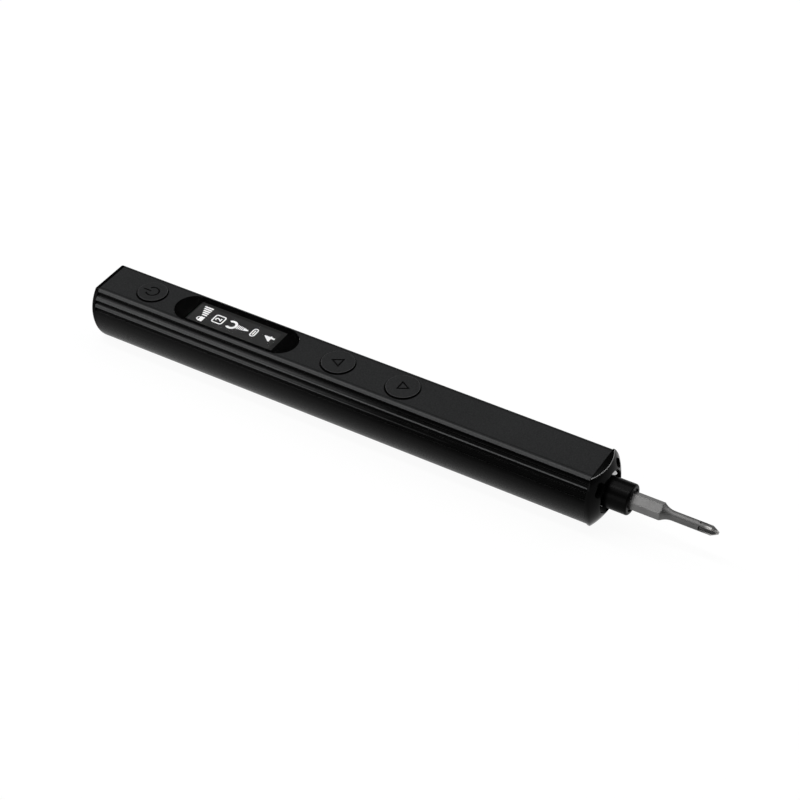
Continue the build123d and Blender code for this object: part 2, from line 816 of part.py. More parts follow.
with BuildPart() as socket_magnet:
    with BuildSketch(shaft_plane(socket_floor)):
        Circle(magnet_diameter / 2)
    extrude(amount=magnet_length)
socket_magnet.part.label = "socket_magnet"
export_step(socket_magnet.part, "parts/socket_magnet.step")

# Lights: ring board behind the nose, chips on it and light pipes in the recess
with BuildPart() as led_board:
    with BuildSketch(shaft_plane(led_board_start)):
        Circle(top_inside - spindle_height - led_board_edge)
        Circle(clip_radius + axial_gap, mode=Mode.SUBTRACT)
    extrude(amount=led_board_thickness)
led_board.part.label = "led_board"
export_step(led_board.part, "parts/led_board.step")

with BuildPart() as leds:
    with BuildSketch(shaft_plane(spigot_start)):
        with PolarLocations(led_ring_radius, led_count, led_start_angle):
            Rectangle(led_size, led_size)
    extrude(amount=led_height)
leds.part.label = "leds"
export_step(leds.part, "parts/leds.step")

lens_start = spigot_start + led_height + seat_gap

with BuildPart() as led_lenses:
    with BuildSketch(shaft_plane(lens_start)):
        with PolarLocations(led_ring_radius, led_count, led_start_angle):
            Circle(lens_radius)
    extrude(amount=recess_floor + led_lens_rise - lens_start)
led_lenses.part.label = "led_lenses"
export_step(led_lenses.part, "parts/led_lenses.step")

# Bit: hex shank, turned neck and cross-point tip
hex_corner_radius = hex_across_flats / 2 / cos(pi / 6)
hex_end = sleeve_end + bit_hex_visible
taper_end = hex_end + bit_taper_length
shank_radius = bit_shank_diameter / 2

with BuildPart() as bit:
    with BuildSketch(shaft_plane(bit_start)):
        RegularPolygon(hex_across_flats / 2, 6, major_radius=False, rotation=hex_turn)
    extrude(amount=bit_length)
    with BuildSketch(profile_plane):
        with BuildLine():
            Polyline(
                (hex_end, hex_corner_radius),
                (bit_start + bit_chamfer, hex_corner_radius),
                (bit_start, hex_corner_radius - bit_chamfer),
                (bit_start, 0),
                (bit_end, 0),
                (bit_end, bit_tip_diameter / 2),
                (bit_end - bit_cone_length, shank_radius),
                (taper_end, shank_radius),
            )
            TangentArc((taper_end, shank_radius), (hex_end, hex_corner_radius), tangent=(-1, 0))
        make_face()
    revolve(axis=spindle_axis, mode=Mode.INTERSECT)
    with BuildSketch(shaft_plane(bit_end - bit_flute_length)):
        with PolarLocations(bit_flute_ring, 4, 45 + hex_turn):
            Circle(bit_flute_radius)
    extrude(amount=bit_flute_length, mode=Mode.SUBTRACT)
bit.part.label = "bit"
export_step(bit.part, "parts/bit.step")
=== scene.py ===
import math
import bmesh
import bpy
from mathutils import Matrix, Vector


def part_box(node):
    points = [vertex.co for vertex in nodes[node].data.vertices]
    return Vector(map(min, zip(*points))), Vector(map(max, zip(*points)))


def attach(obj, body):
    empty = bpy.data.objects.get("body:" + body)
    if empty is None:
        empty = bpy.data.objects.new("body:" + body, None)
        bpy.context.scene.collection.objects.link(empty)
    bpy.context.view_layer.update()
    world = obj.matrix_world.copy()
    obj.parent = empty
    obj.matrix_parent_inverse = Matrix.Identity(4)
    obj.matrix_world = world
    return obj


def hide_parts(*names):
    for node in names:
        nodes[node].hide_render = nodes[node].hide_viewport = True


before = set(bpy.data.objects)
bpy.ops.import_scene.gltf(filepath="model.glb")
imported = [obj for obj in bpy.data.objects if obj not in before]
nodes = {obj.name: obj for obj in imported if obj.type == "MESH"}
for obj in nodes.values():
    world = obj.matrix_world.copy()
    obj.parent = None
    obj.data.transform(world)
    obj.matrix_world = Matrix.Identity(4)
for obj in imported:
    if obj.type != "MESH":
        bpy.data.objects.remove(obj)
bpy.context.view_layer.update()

mm = 0.001


# Camera and lamps

view = {
    "place": (0.20677, -0.32176, 0.32910),
    "azimuth": 30.628,  # degrees round the tool from its near side
    "elevation": 40.280,
    "lens": 89.37,
}

studio = {
    "floorSpan": 60.0,
    "floorTone": 0.30,  # what the floor throws back onto the tool
    "floorSeen": 0.85,  # its tone as the camera sees it
    "floorWhite": 0.94,  # share of plain white in what the camera sees of the floor
    "floorRough": 0.9,
    "skyLow": 0.60,
    "skyHigh": 0.02,
    "skyTurn": 0.22,  # height of the view direction where the pale band ends
    "softboxes": {
        "overhead": {"place": (0.05, 0.42, 0.95), "aim": (0, 0.05, 0), "size": (1.3, 0.6), "power": 7.5},
        "lipStrip": {"place": (-0.42, -0.07, 0.98), "aim": (0, 0, 0), "size": (1.3, 0.10), "power": 9.0},
        "hexGlow": {"place": (-0.46, -0.42, 1.0), "aim": (0.05, 0, 0), "size": (0.5, 0.4), "power": 1.3},
        "sideFill": {"place": (-0.45, -1.15, 0.35), "aim": (0, 0, 0.01), "size": (1.2, 0.5), "power": 5.0},
        "noseSide": {"place": (0.45, 0.80, 0.75), "aim": (0.07, 0, 0), "size": (0.40, 0.40), "power": 2.4},
    },
}


def setCamera():
    turn = math.radians(view["azimuth"])
    rise = math.radians(view["elevation"])
    back = Vector((math.sin(turn) * math.cos(rise), -math.cos(turn) * math.cos(rise), math.sin(rise)))
    data = bpy.data.cameras.new("benchCamera")
    data.lens = view["lens"]
    camera = bpy.data.objects.new("benchCamera", data)
    camera.location = view["place"]
    camera.rotation_mode = "QUATERNION"
    camera.rotation_quaternion = (-back).to_track_quat("-Z", "Y")
    bpy.context.scene.collection.objects.link(camera)
    bpy.context.scene.camera = camera


def addSoftbox(name, box):
    data = bpy.data.lights.new(name, "AREA")
    data.shape = "RECTANGLE"
    data.size, data.size_y = box["size"]
    data.energy = box["power"]
    lamp = bpy.data.objects.new(name, data)
    back = (Vector(box["place"]) - Vector(box["aim"])).normalized()
    up = back.cross(Vector((1, 0, 0))).normalized()
    turn = Matrix((up.cross(back), up, back)).transposed()  # its long side lies along the tool
    lamp.matrix_world = Matrix.Translation(box["place"]) @ turn.to_4x4()
    bpy.context.scene.collection.objects.link(lamp)


# Node trees: a socket that takes part in Python sums, and one way to make any other node


class Val:
    def __init__(self, tree, socket):
        self.tree = tree
        self.socket = socket

    def join(self, operation, *items):
        made = self.tree.nodes.new("ShaderNodeMath")
        made.operation = operation
        for slot, item in enumerate(items):
            if isinstance(item, Val):
                self.tree.links.new(item.socket, made.inputs[slot])
            else:
                made.inputs[slot].default_value = item
        return Val(self.tree, made.outputs[0])

    def __add__(self, other):
        return self.join("ADD", self, other)

    def __radd__(self, other):
        return self.join("ADD", other, self)

    def __sub__(self, other):
        return self.join("SUBTRACT", self, other)

    def __rsub__(self, other):
        return self.join("SUBTRACT", other, self)

    def __mul__(self, other):
        return self.join("MULTIPLY", self, other)

    def __rmul__(self, other):
        return self.join("MULTIPLY", other, self)

    def __truediv__(self, other):
        return self.join("DIVIDE", self, other)

    def __rtruediv__(self, other):
        return self.join("DIVIDE", other, self)

    def __pow__(self, other):
        return self.join("POWER", self, other)

    def __gt__(self, other):
        return self.join("GREATER_THAN", self, other)

    def __lt__(self, other):
        return self.join("LESS_THAN", self, other)

    def __abs__(self):
        return self.join("ABSOLUTE", self)

    def wave(self):  # a sine between 0 and 1
        return self.join("SINE", self) * 0.5 + 0.5

    def higher(self, other):
        return self.join("MAXIMUM", self, other)

    def fraction(self):
        return self.join("FRACT", self)

    def clamp(self):
        return self.join("MINIMUM", self.join("MAXIMUM", self, 0.0), 1.0)

    def over(self, width):  # 0 to 1 as the value goes from 0 to the width
        return (self / width).clamp()

    def near(self, half):  # 1 at zero, 0 from the half width on
        return (1 - abs(self) / half).clamp()

    def inside(self, low, high):
        return (self > low) * (self < high)


class Wiring:
    def __init__(self, tree):
        self.tree = tree

    def node(self, kind, settings=None, sockets=None):
        made = self.tree.nodes.new(kind)
        for key, value in (settings or {}).items():
            setattr(made, key, value)
        for key, value in (sockets or {}).items():
            self.feed(made.inputs[key], value)
        return made

    def feed(self, socket, value):
        if isinstance(value, Val):
            self.tree.links.new(value.socket, socket)
        elif isinstance(value, bpy.types.NodeSocket):
            self.tree.links.new(value, socket)
        else:
            socket.default_value = value

    def val(self, socket):
        return Val(self.tree, socket)

    def split(self, vector, names="xyz"):
        parts = self.node("ShaderNodeSeparateXYZ", sockets={0: vector}).outputs
        return [self.val(parts["xyz".index(name)]) for name in names]


class Finish(Wiring):
    def __init__(self, name, fixed=None):  # fixed values go straight onto the shader's sockets
        self.material = bpy.data.materials.new(name)
        self.material.use_nodes = True
        super().__init__(self.material.node_tree)
        self.shader = self.tree.nodes["Principled BSDF"]
        for key, value in (fixed or {}).items():
            self.shader.inputs[key].default_value = value

    def put(self, key, value):
        self.feed(self.shader.inputs[key], value)

    def place(self):  # metres in the tool's own frame
        return self.node("ShaderNodeTexCoord").outputs["Object"]

    def axes(self, names="xyz"):
        return self.split(self.place(), names)

    def noise(self, scale, detail=2.0, stretch=(1, 1, 1)):
        where = self.node("ShaderNodeMapping", sockets={"Vector": self.place(), "Scale": stretch})
        sockets = {"Vector": where.outputs[0], "Scale": scale, "Detail": detail}
        return self.val(self.node("ShaderNodeTexNoise", sockets=sockets).outputs[0])

    def flag(self, name):  # a mark that the piece's own faces carry
        return self.val(self.node("ShaderNodeAttribute", {"attribute_name": name}).outputs["Fac"])

    def tone(self, value):  # a colour gets its alpha, a link stays as it is
        return value if isinstance(value, bpy.types.NodeSocket) else (*value, 1.0)

    def mix(self, factor, first, second):
        sockets = {0: factor, 6: self.tone(first), 7: self.tone(second)}  # 6 and 7 are its colours
        return self.node("ShaderNodeMix", {"data_type": "RGBA"}, sockets).outputs[2]

    def colour(self, factor, first, second):
        self.put("Base Color", self.mix(factor, first, second))

    def bump(self, height, depth):  # depth in metres
        sockets = {"Strength": 1.0, "Distance": depth, "Height": height}
        self.put("Normal", self.node("ShaderNodeBump", sockets=sockets).outputs[0])

    def grain(self, pattern, rough, spread, depth):  # roughness and bump from one pattern
        self.put("Roughness", rough + (pattern - 0.5) * spread)
        self.bump(pattern, depth)


def grey(level, warm=0.0):
    return (level * (1 + warm), level, level * (1 - warm))


def middleOf(name):
    low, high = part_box(name)
    return (low + high) / 2


# Finishes of the casing and of what shows

keyFace = {"power_button": 8.0 * mm, "reverse_button": 8.8 * mm, "forward_button": 8.8 * mm}  # diameters

tubeSkin = {
    "specular": 0.022,
    "dark": grey(0.0035, -0.02),  # the blasted flat top
    "light": grey(0.0275, -0.02),
    "side": grey(0.0004),  # smooth drawn sides under the ribs; their much darker tone than the top is painted shade
    "sideRear": grey(0.0065),  # painted light: the sides lighter near the rear end
    "belly": grey(0.0420),  # painted reflection of the pale floor, lighter low down
    "lip": grey(0.110, -0.01),  # painted highlight along the lower edge of each rib
    "paintedShade": grey(0.0010),  # painted shade in the bottom of each groove, along the flat's edge and round the keys
    # painted shade in the grooves near the rear end, lighter there as painted light
    "paintedShadeRear": grey(0.0045),
    "topRough": 0.44,
    "sideRough": 0.27,
    "grainRough": 0.14,  # how far the grain and the lines vary the roughness
    "lineRough": 0.06,
    "dyeShare": 0.25,  # the rest of the tone follows the grain
    "drift": 38.0,  # noise scales: slow drift of the dye
    "grain": 2700.0,  # bead-blasted skin
    "dieLines": 900.0,  # faint lines along the extrusion
    "grainDepth": 0.012 * mm,
    "sideCalm": 0.8,  # the sides lose this share of the grain
    "lineShare": 0.25,
    "blur": 0.06 * mm,  # width over which one tone gives way to the next
    "corner": 0.03 * mm,  # where the rounded top corner begins
    "crease": 5.12 * mm,  # painted shadow line along the flat's edge, from the middle
    "creaseHalf": 0.26 * mm,
    "creaseShare": 0.65,
    # painted highlight along the rounded top corner: how far down it reaches, and its share
    "shoulderEnd": 0.66 * mm,
    "shoulderHighlight": 0.52,
    "grooveDrop": 1.3 * mm,  # first groove below the flat top
    "groovePitch": 1.9 * mm,
    "grooveHalf": 0.46 * mm,
    "grooveBlur": 0.10 * mm,
    "grooveRows": (-0.5, 2.45),  # pitches from the first groove, where the grooves begin and end
    "lipReach": 0.74 * mm,  # from the middle of a groove up to the rib edge over it
    "lipHalf": 0.26 * mm,
    "rearLightFront": 20.0 * mm,  # painted light: behind this place the ribs carry a painted highlight over their whole width, and sides and grooves turn lighter
    "rearLightFade": 50.0 * mm,
    "ribHighlight": 0.62,
    "highlightGrain": (0.7, 0.6),  # least painted highlight, and what the grain adds
    "lowRibFront": 36.0 * mm,  # the lower rib carries the painted highlight only behind this place
    "bellyStart": 11.0 * mm,  # height under which the painted floor reflection begins
    "bellyFade": 7.5 * mm,
    "bellyCurve": 1.4,
    "holeShift": 0.14 * mm,  # the painted shadow round a key's hole is wider on the near side
    "holeEdge": 0.27 * mm,  # added to the key's own radius
}


def keyHoleShadows(x, y):  # painted shadow round each key's hole
    edges = []
    for name, across in keyFace.items():
        alongKey = x - middleOf(name).x
        acrossKey = y + tubeSkin["holeShift"]
        spread = (alongKey * alongKey + acrossKey * acrossKey) ** 0.5
        edges.append((across / 2 + tubeSkin["holeEdge"] - spread).over(tubeSkin["blur"]))
    return edges


def anodisedTube():
    skin = tubeSkin
    finish = Finish("anodisedTube", {"Specular IOR Level": skin["specular"]})
    x, y, z = finish.axes()
    dye = finish.noise(skin["drift"], 3.0)
    blast = finish.noise(skin["grain"])
    pull = finish.noise(skin["dieLines"], 2.0, (0.02, 1, 1))
    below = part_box("body_tube")[1].z - z
    rear = (skin["rearLightFront"] - x).over(skin["rearLightFade"])
    side = (below - skin["corner"]).over(skin["blur"])
    # painted shadow along the flat's edge and round the keys' holes
    shade = (abs(y) - skin["crease"]).near(skin["creaseHalf"]) * (1 - side) * skin["creaseShare"]
    for edge in keyHoleShadows(x, y):
        shade = shade.higher(edge)
    dyed = (dye * skin["dyeShare"] + blast * (1 - skin["dyeShare"])).clamp()
    flat = finish.mix(dyed, skin["dark"], skin["light"])
    flat = finish.mix(shade, flat, skin["paintedShade"])
    # painted reflection of the floor, growing towards the bottom
    low = (skin["bellyStart"] - z).over(skin["bellyFade"]) ** skin["bellyCurve"]
    # painted light and shade on the sides: darker than the top, lighter towards the rear
    wall = finish.mix(rear, skin["side"], skin["sideRear"])
    wall = finish.mix(low, wall, skin["belly"])
    pitch = skin["groovePitch"]
    drop = below - skin["grooveDrop"]
    phase = ((drop / pitch + 8.5).fraction() - 0.5) * pitch  # zero in a groove
    first, last = skin["grooveRows"]
    grooved = drop.inside(first * pitch, last * pitch)
    inGroove = (skin["grooveHalf"] - abs(phase)).over(skin["grooveBlur"]) * grooved
    land = (abs(phase) - skin["grooveHalf"]).over(skin["grooveBlur"])  # between two grooves
    lip = (phase + skin["lipReach"]).near(skin["lipHalf"])
    lowRib = (drop > pitch) * (1 - (skin["lowRibFront"] - x).over(skin["rearLightFade"]))
    # painted highlight on the rib edges, spreading over whole ribs towards the rear
    wearAndHighlight = lip.higher(land * rear * skin["ribHighlight"]) * drop.inside(0.0, 2.0 * pitch) * (1 - lowRib)
    shoulder = side * (below < skin["shoulderEnd"])  # painted highlight along the rounded corner under the flat
    least, more = skin["highlightGrain"]
    paintedHighlight = (wearAndHighlight + shoulder * skin["shoulderHighlight"]) * (least + blast * more)
    tone = finish.mix(side, flat, wall)
    tone = finish.mix(paintedHighlight.clamp(), tone, skin["lip"])
    # painted shade in the grooves, lighter towards the rear
    paintedShade = finish.mix(rear, skin["paintedShade"], skin["paintedShadeRear"])
    finish.put("Base Color", finish.mix(inGroove, tone, paintedShade))
    rough = skin["topRough"] + side * (skin["sideRough"] - skin["topRough"])
    rough = rough + (blast - 0.5) * skin["grainRough"] + (pull - 0.5) * skin["lineRough"]
    finish.put("Roughness", rough)
    finish.bump(blast * (1 - side * skin["sideCalm"]) + pull * skin["lineShare"], skin["grainDepth"])
    return finish.material


sleeveSkin = {"specular": 0.032, "tone": 0.0016, "rough": 0.32, "grain": 3200.0}
spindleSkin = {"specular": 0.08, "tone": 0.0045, "rough": 0.38, "grain": 3000.0}
blackening = {"shares": (0.88, 1.12), "drift": 60.0, "spread": 0.14, "depth": 0.005 * mm}  # for both


def blackened(name, skin):
    finish = Finish(name, {"Specular IOR Level": skin["specular"]})
    tones = [grey(skin["tone"] * share) for share in blackening["shares"]]
    finish.colour(finish.noise(blackening["drift"]), *tones)
    finish.grain(finish.noise(skin["grain"]), skin["rough"], blackening["spread"], blackening["depth"])
    return finish.material


capSkin = {
    "specular": 0.036,
    "rough": 0.16,
    "spread": 0.10,
    "darkRough": 0.5,  # added in the seam and the slots
    "tone": grey(0.0011),
    # painted shade inside the slots and in the seam
    "hole": grey(0.0002),
    "edge": grey(0.260),  # painted highlight along the top of the dome
    "edgeDrop": 0.24 * mm,
    "edgeBlur": 0.05 * mm,
    "edgeTop": 0.012 * mm,  # the flat top itself stays dark
    "domeBack": 11.09 * mm,  # from the seam back to the middle of the dome's ball
    "domeRadius": 15.0 * mm,
    "seamHalf": 0.14 * mm,  # shadow line where the cap meets the tube
    "grain": 4200.0,
    "patches": 420.0,
    "grainDepth": 0.004 * mm,
}


def glossCap():
    skin = capSkin
    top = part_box("nose_cap")[1].z
    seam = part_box("body_tube")[1].x
    finish = Finish("glossCap", {"Specular IOR Level": skin["specular"]})
    x, y, z = finish.axes()
    grain = finish.noise(skin["grain"])
    patch = finish.noise(skin["patches"])
    ahead = x - (seam - skin["domeBack"])
    height = z - middleOf("chuck_sleeve").z
    ball = (ahead * ahead + y * y + height * height) ** 0.5
    onDome = (abs(ball - skin["domeRadius"]) < skin["edgeBlur"]) * (z < top - skin["edgeTop"])
    # painted highlight along the dome's top edge
    rim = (z - (top - skin["edgeDrop"])).over(skin["edgeBlur"]) * onDome * (0.5 + patch)
    # painted shade in the seam line and inside the slots
    dark = (x - seam).near(skin["seamHalf"]).higher(finish.flag("hollow"))
    tone = finish.mix(rim.clamp(), skin["tone"], skin["edge"])
    finish.put("Base Color", finish.mix(dark, tone, skin["hole"]))
    finish.put("Roughness", skin["rough"] + (grain - 0.5) * skin["spread"] + dark * skin["darkRough"])
    finish.bump(grain, skin["grainDepth"])
    return finish.material


keySkin = {
    "specular": 0.02,
    "rough": 0.44,
    "spread": 0.16,
    "dark": grey(0.0100, -0.02),
    "light": grey(0.0225, -0.02),
    "rim": grey(0.050, -0.01),  # painted highlight round the face
    "rimHighlightGrain": (0.55, 0.5),  # least painted highlight, and what the grain adds
    "wall": grey(0.0012),  # painted shade on the side that stands in the tube's hole and in the engraved signs
    "wallDrop": 0.050 * mm,
    "wallBlur": 0.02 * mm,
    "rimDrop": 0.005 * mm,
    "rimBlur": 0.01 * mm,
    "grain": 2900.0,
    "grainDepth": 0.008 * mm,
}


def mattKey():
    skin = keySkin
    finish = Finish("mattKey", {"Specular IOR Level": skin["specular"]})
    [z] = finish.axes("z")
    grain = finish.noise(skin["grain"])
    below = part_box("power_button")[1].z - z
    # painted shade below the face: the key's side and the engraved signs
    wall = (below - skin["wallDrop"]).over(skin["wallBlur"])
    # painted highlight round the key's face
    rim = (below - skin["rimDrop"]).over(skin["rimBlur"]) * (1 - wall)
    face = finish.mix(grain, skin["dark"], skin["light"])
    least, more = skin["rimHighlightGrain"]
    face = finish.mix(rim * (least + grain * more), face, skin["rim"])
    finish.put("Base Color", finish.mix(wall, face, skin["wall"]))
    finish.grain(grain, skin["rough"], skin["spread"], skin["grainDepth"])
    return finish.material


glassSkin = {
    "specular": 0.25,
    "ior": 1.45,
    "tones": (grey(0.93), grey(0.97)),
    "smears": 70.0,
    "smearRough": 0.012,
}


def clearGlass():
    skin = glassSkin
    fixed = {"Transmission Weight": 1.0, "IOR": skin["ior"], "Specular IOR Level": skin["specular"]}
    finish = Finish("clearGlass", fixed)
    smear = finish.noise(skin["smears"], 3.0)
    finish.colour(smear, *skin["tones"])
    finish.put("Roughness", smear * skin["smearRough"])
    return finish.material


printSkin = {
    "specular": 0.02,
    "tones": (grey(0.0002), grey(0.0005)),
    "rough": 0.55,
    "dots": 9000.0,
    "dotRough": 0.2,
}


def blackPrint():
    skin = printSkin
    finish = Finish("blackPrint", {"Specular IOR Level": skin["specular"]})
    dots = finish.noise(skin["dots"], 1.0)
    finish.colour(dots, *skin["tones"])
    finish.put("Roughness", skin["rough"] + dots * skin["dotRough"])
    return finish.material


display = {
    "maskInset": 0.03 * mm,  # black print in the back of the glass, a slot like the window
    "maskEnd": 0.001 * mm,  # keeps the two round ends of the slot apart
    "clearLength": 13.15 * mm,  # what the print leaves open, from the window's middle
    "clearWidth": 3.9 * mm,
    "maskRise": (0.006 * mm, 0.016 * mm),  # heights over the back of the glass
    "markRise": (0.001 * mm, 0.006 * mm),  # heights over the panel
    "figureGain": 0.07 * mm,  # heavier strokes
    "specular": 0.02,
    "dark": grey(0.024),  # glow of the lit panel
    "light": grey(0.038),
    "base": (grey(0.004), grey(0.007)),  # the panel under its glow
    "border": grey(0.004),  # unlit border along the panel's end and its far side
    "borderShare": 0.45,
    "borderBlur": 0.15 * mm,
    "endBorder": 1.3 * mm,
    "farBorder": 1.0 * mm,
    "pixel": 0.14 * mm,
    "pixelShare": 0.25,  # the rest of the glow follows the haze
    "haze": 120.0,
    "rough": 0.45,
    "hazeRough": 0.1,
    "markGlow": (grey(0.88), grey(1.0)),
    "markBase": (grey(0.10), grey(0.14)),
    "markGrain": 2500.0,
    "markRough": (0.5, 0.2),  # least, and what the grain adds
}


def litPanel():
    skin = display
    finish = Finish("litPanel", {"Emission Strength": 1.0, "Specular IOR Level": skin["specular"]})
    x, y = finish.axes("xy")
    turn = 2 * math.pi / skin["pixel"]
    cells = (x * turn).wave() * (y * turn).wave()
    haze = finish.noise(skin["haze"])
    endStart = middleOf("display_window").x + skin["clearLength"] - skin["endBorder"]
    end = (x - endStart).over(skin["borderBlur"])
    far = (y - (skin["clearWidth"] - skin["farBorder"])).over(skin["borderBlur"])
    lit = (cells * skin["pixelShare"] + haze * (1 - skin["pixelShare"])).clamp()
    glow = finish.mix(lit, skin["dark"], skin["light"])
    glow = finish.mix(end.higher(far) * skin["borderShare"], glow, skin["border"])
    finish.colour(haze, *skin["base"])
    finish.put("Emission Color", glow)
    finish.put("Roughness", skin["rough"] + haze * skin["hazeRough"])
    return finish.material


def litMark():
    finish = Finish("litMark", {"Emission Strength": 1.0, "Specular IOR Level": display["specular"]})
    glow = finish.noise(display["markGrain"], 1.0)
    least, more = display["markRough"]
    finish.colour(glow, *display["markBase"])
    finish.put("Emission Color", finish.mix(glow, *display["markGlow"]))
    finish.put("Roughness", least + glow * more)
    return finish.material


bitSkin = {
    "dark": grey(0.055, 0.01),
    "light": grey(0.225, 0.01),
    "wearAndHighlight": grey(0.400, 0.02),  # bare steel at the point
    "wornShare": 0.8,
    # painted shade in the flutes
    "flute": grey(0.050),
    "rough": 0.42,
    "spread": 0.22,
    "turnedRough": 0.14,  # added past the hex
    "turnedTone": 0.08,
    "turnedCalm": 0.8,  # the turned neck loses this share of the speckle
    "turnedFlat": 0.95,  # and this share of the bump
    "turnedLength": 14.4 * mm,  # lengths back from the point
    "turnedBlur": 0.2 * mm,
    "wornLength": 3.6 * mm,
    "wornBlur": 1.2 * mm,
    "fluteLength": 4.8 * mm,
    "fluteFade": 1.6 * mm,  # the painted shade in the flutes deepens towards the point
    "fluteRing": 1.2 * mm,  # from the bit's axis to the middle of a flute
    "fluteRadius": 0.61 * mm,
    "fluteTurn": 79.0,  # degrees round the bit's axis
    "fluteEdge": 1.20 * mm,  # and it deepens from their edges inwards
    "fluteBlur": 0.3 * mm,
    "drawn": 2600.0,  # noise scales: lines along the hex
    "rings": 5200.0,  # lathe rings past it
    "grit": 7000.0,
    "cloud": 300.0,
    "lineShare": 0.20,  # how far each pattern lightens the steel
    "gritShare": 0.5,
    "cloudShare": 0.30,
    "gritDepth": 0.005 * mm,
}


def fluteShadeMask(back, y, rise):
    turn = math.radians(bitSkin["fluteTurn"])
    first = abs(y * math.cos(turn) + rise * math.sin(turn))
    second = abs(rise * math.cos(turn) - y * math.sin(turn))
    cuts = []
    for along, aside in ((first, second), (second, first)):
        off = along - bitSkin["fluteRing"]
        cuts.append((off * off + aside * aside) ** 0.5 < bitSkin["fluteRadius"])
    lengthwise = (bitSkin["fluteLength"] - back).over(bitSkin["fluteFade"])
    inwards = (bitSkin["fluteEdge"] - (y * y + rise * rise) ** 0.5).over(bitSkin["fluteBlur"])
    return cuts[0].higher(cuts[1]) * lengthwise * inwards


def bitSteel():
    skin = bitSkin
    finish = Finish("bitSteel", {"Metallic": 1.0})
    x, y, z = finish.axes()
    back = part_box("bit")[1].x - x
    turned = (skin["turnedLength"] - back).over(skin["turnedBlur"])
    wearAndHighlight = (skin["wornLength"] - back).over(skin["wornBlur"])
    flute = fluteShadeMask(back, y, z - middleOf("bit").z)
    drawn = finish.noise(skin["drawn"], 3.0, (0.10, 1, 1))
    rings = finish.noise(skin["rings"], 2.0, (1, 0.05, 0.05))
    grit = finish.noise(skin["grit"])
    cloud = finish.noise(skin["cloud"], 3.0)
    lines = drawn * (1 - turned) + rings * turned
    rugged = 1 - turned * skin["turnedCalm"]
    speckle = (lines * skin["lineShare"] + grit * skin["gritShare"]) * rugged
    pale = (cloud * skin["cloudShare"] + speckle + turned * skin["turnedTone"]).clamp()
    shade = finish.mix(pale, skin["dark"], skin["light"])
    shade = finish.mix(wearAndHighlight * skin["wornShare"], shade, skin["wearAndHighlight"])
    # painted shade in the flutes
    finish.put("Base Color", finish.mix(flute, shade, skin["flute"]))
    rough = skin["rough"] + (grit - 0.5) * skin["spread"] * rugged
    finish.put("Roughness", rough + turned * skin["turnedRough"])
    finish.bump((lines * 0.5 + grit * 0.5) * (1 - turned * skin["turnedFlat"]), skin["gritDepth"])
    return finish.material


pipeSkin = {
    "specular": 0.5,
    "ior": 1.49,
    "power": 0.5,
    "base": (grey(0.50, 0.02), grey(0.66, 0.02)),
    "glow": (grey(0.75), grey(1.0)),  # painted glints: the lenses glow as though the work light were lit
    "rough": 0.14,
    "spread": 0.08,
    "clouds": 900.0,
    "depth": 0.008 * mm,
}


def lightPipe():
    skin = pipeSkin
    fixed = {"Emission Strength": skin["power"], "IOR": skin["ior"], "Specular IOR Level": skin["specular"]}
    finish = Finish("lightPipe", fixed)
    cloud = finish.noise(skin["clouds"])
    finish.colour(cloud, *skin["base"])
    finish.put("Emission Color", finish.mix(cloud, *skin["glow"]))
    finish.grain(cloud, skin["rough"], skin["spread"], skin["depth"])
    return finish.material


# Finishes of what the casing holds

alongX = (0.03, 1, 1)  # how a grain is drawn out
aroundX = (1, 0.03, 0.03)
evenly = (1, 1, 1)

satin = {"lines": 2200.0, "stains": 140.0, "shares": (0.82, 1.1), "spread": 0.2, "depth": 0.003 * mm}
plating = {"lines": 2400.0, "spread": 0.18, "depth": 0.003 * mm}
moulding = {"flow": 180.0, "spark": 3800.0, "flowShare": 0.7, "spread": 0.16, "depth": 0.006 * mm}


def satinLines(finish, stretch):  # tool lines, and how far lines and stains lighten the metal
    lines = finish.noise(satin["lines"], 3.0, stretch)
    stain = finish.noise(satin["stains"], 3.0)
    return lines, (lines * 0.5 + stain * 0.5).clamp()


def satinMetal(name, tone, rough, stretch, warm=0.0):
    finish = Finish(name, {"Metallic": 1.0})
    lines, pale = satinLines(finish, stretch)
    tones = [grey(tone * share, warm) for share in satin["shares"]]
    finish.colour(pale, *tones)
    finish.grain(lines, rough, satin["spread"], satin["depth"])
    return finish.material


def colouredMetal(name, first, second, rough, stretch):
    finish = Finish(name, {"Metallic": 1.0})
    lines = finish.noise(plating["lines"], 3.0, stretch)
    finish.colour(lines, first, second)
    finish.grain(lines, rough, plating["spread"], plating["depth"])
    return finish.material


def mouldedPlastic(name, first, second, rough):
    finish = Finish(name)
    flow = finish.noise(moulding["flow"], 3.0)
    spark = finish.noise(moulding["spark"])
    pale = (flow * moulding["flowShare"] + spark * (1 - moulding["flowShare"])).clamp()
    finish.colour(pale, first, second)
    finish.grain(spark, rough, moulding["spread"], moulding["depth"])
    return finish.material


contacts = {
    "count": 12,
    "pitch": 0.5 * mm,
    "width": 0.26 * mm,
    "length": 3.2 * mm,
    "rise": 0.03 * mm,
    "setback": 0.9 * mm,  # from the socket's mouth to the tongue
    "start": 0.5 * mm,  # from the tongue's edge to a contact
    "tongue": 0.7 * mm,  # its thickness
    "tongueHalf": 3.5 * mm,
    "tongueSkin": 0.02 * mm,
}

socketSkin = {
    "plate": (grey(0.45), grey(0.60)),
    "rough": 0.26,
    "tongue": grey(0.012),
    "tongueRough": 0.25,  # added on the tongue
}


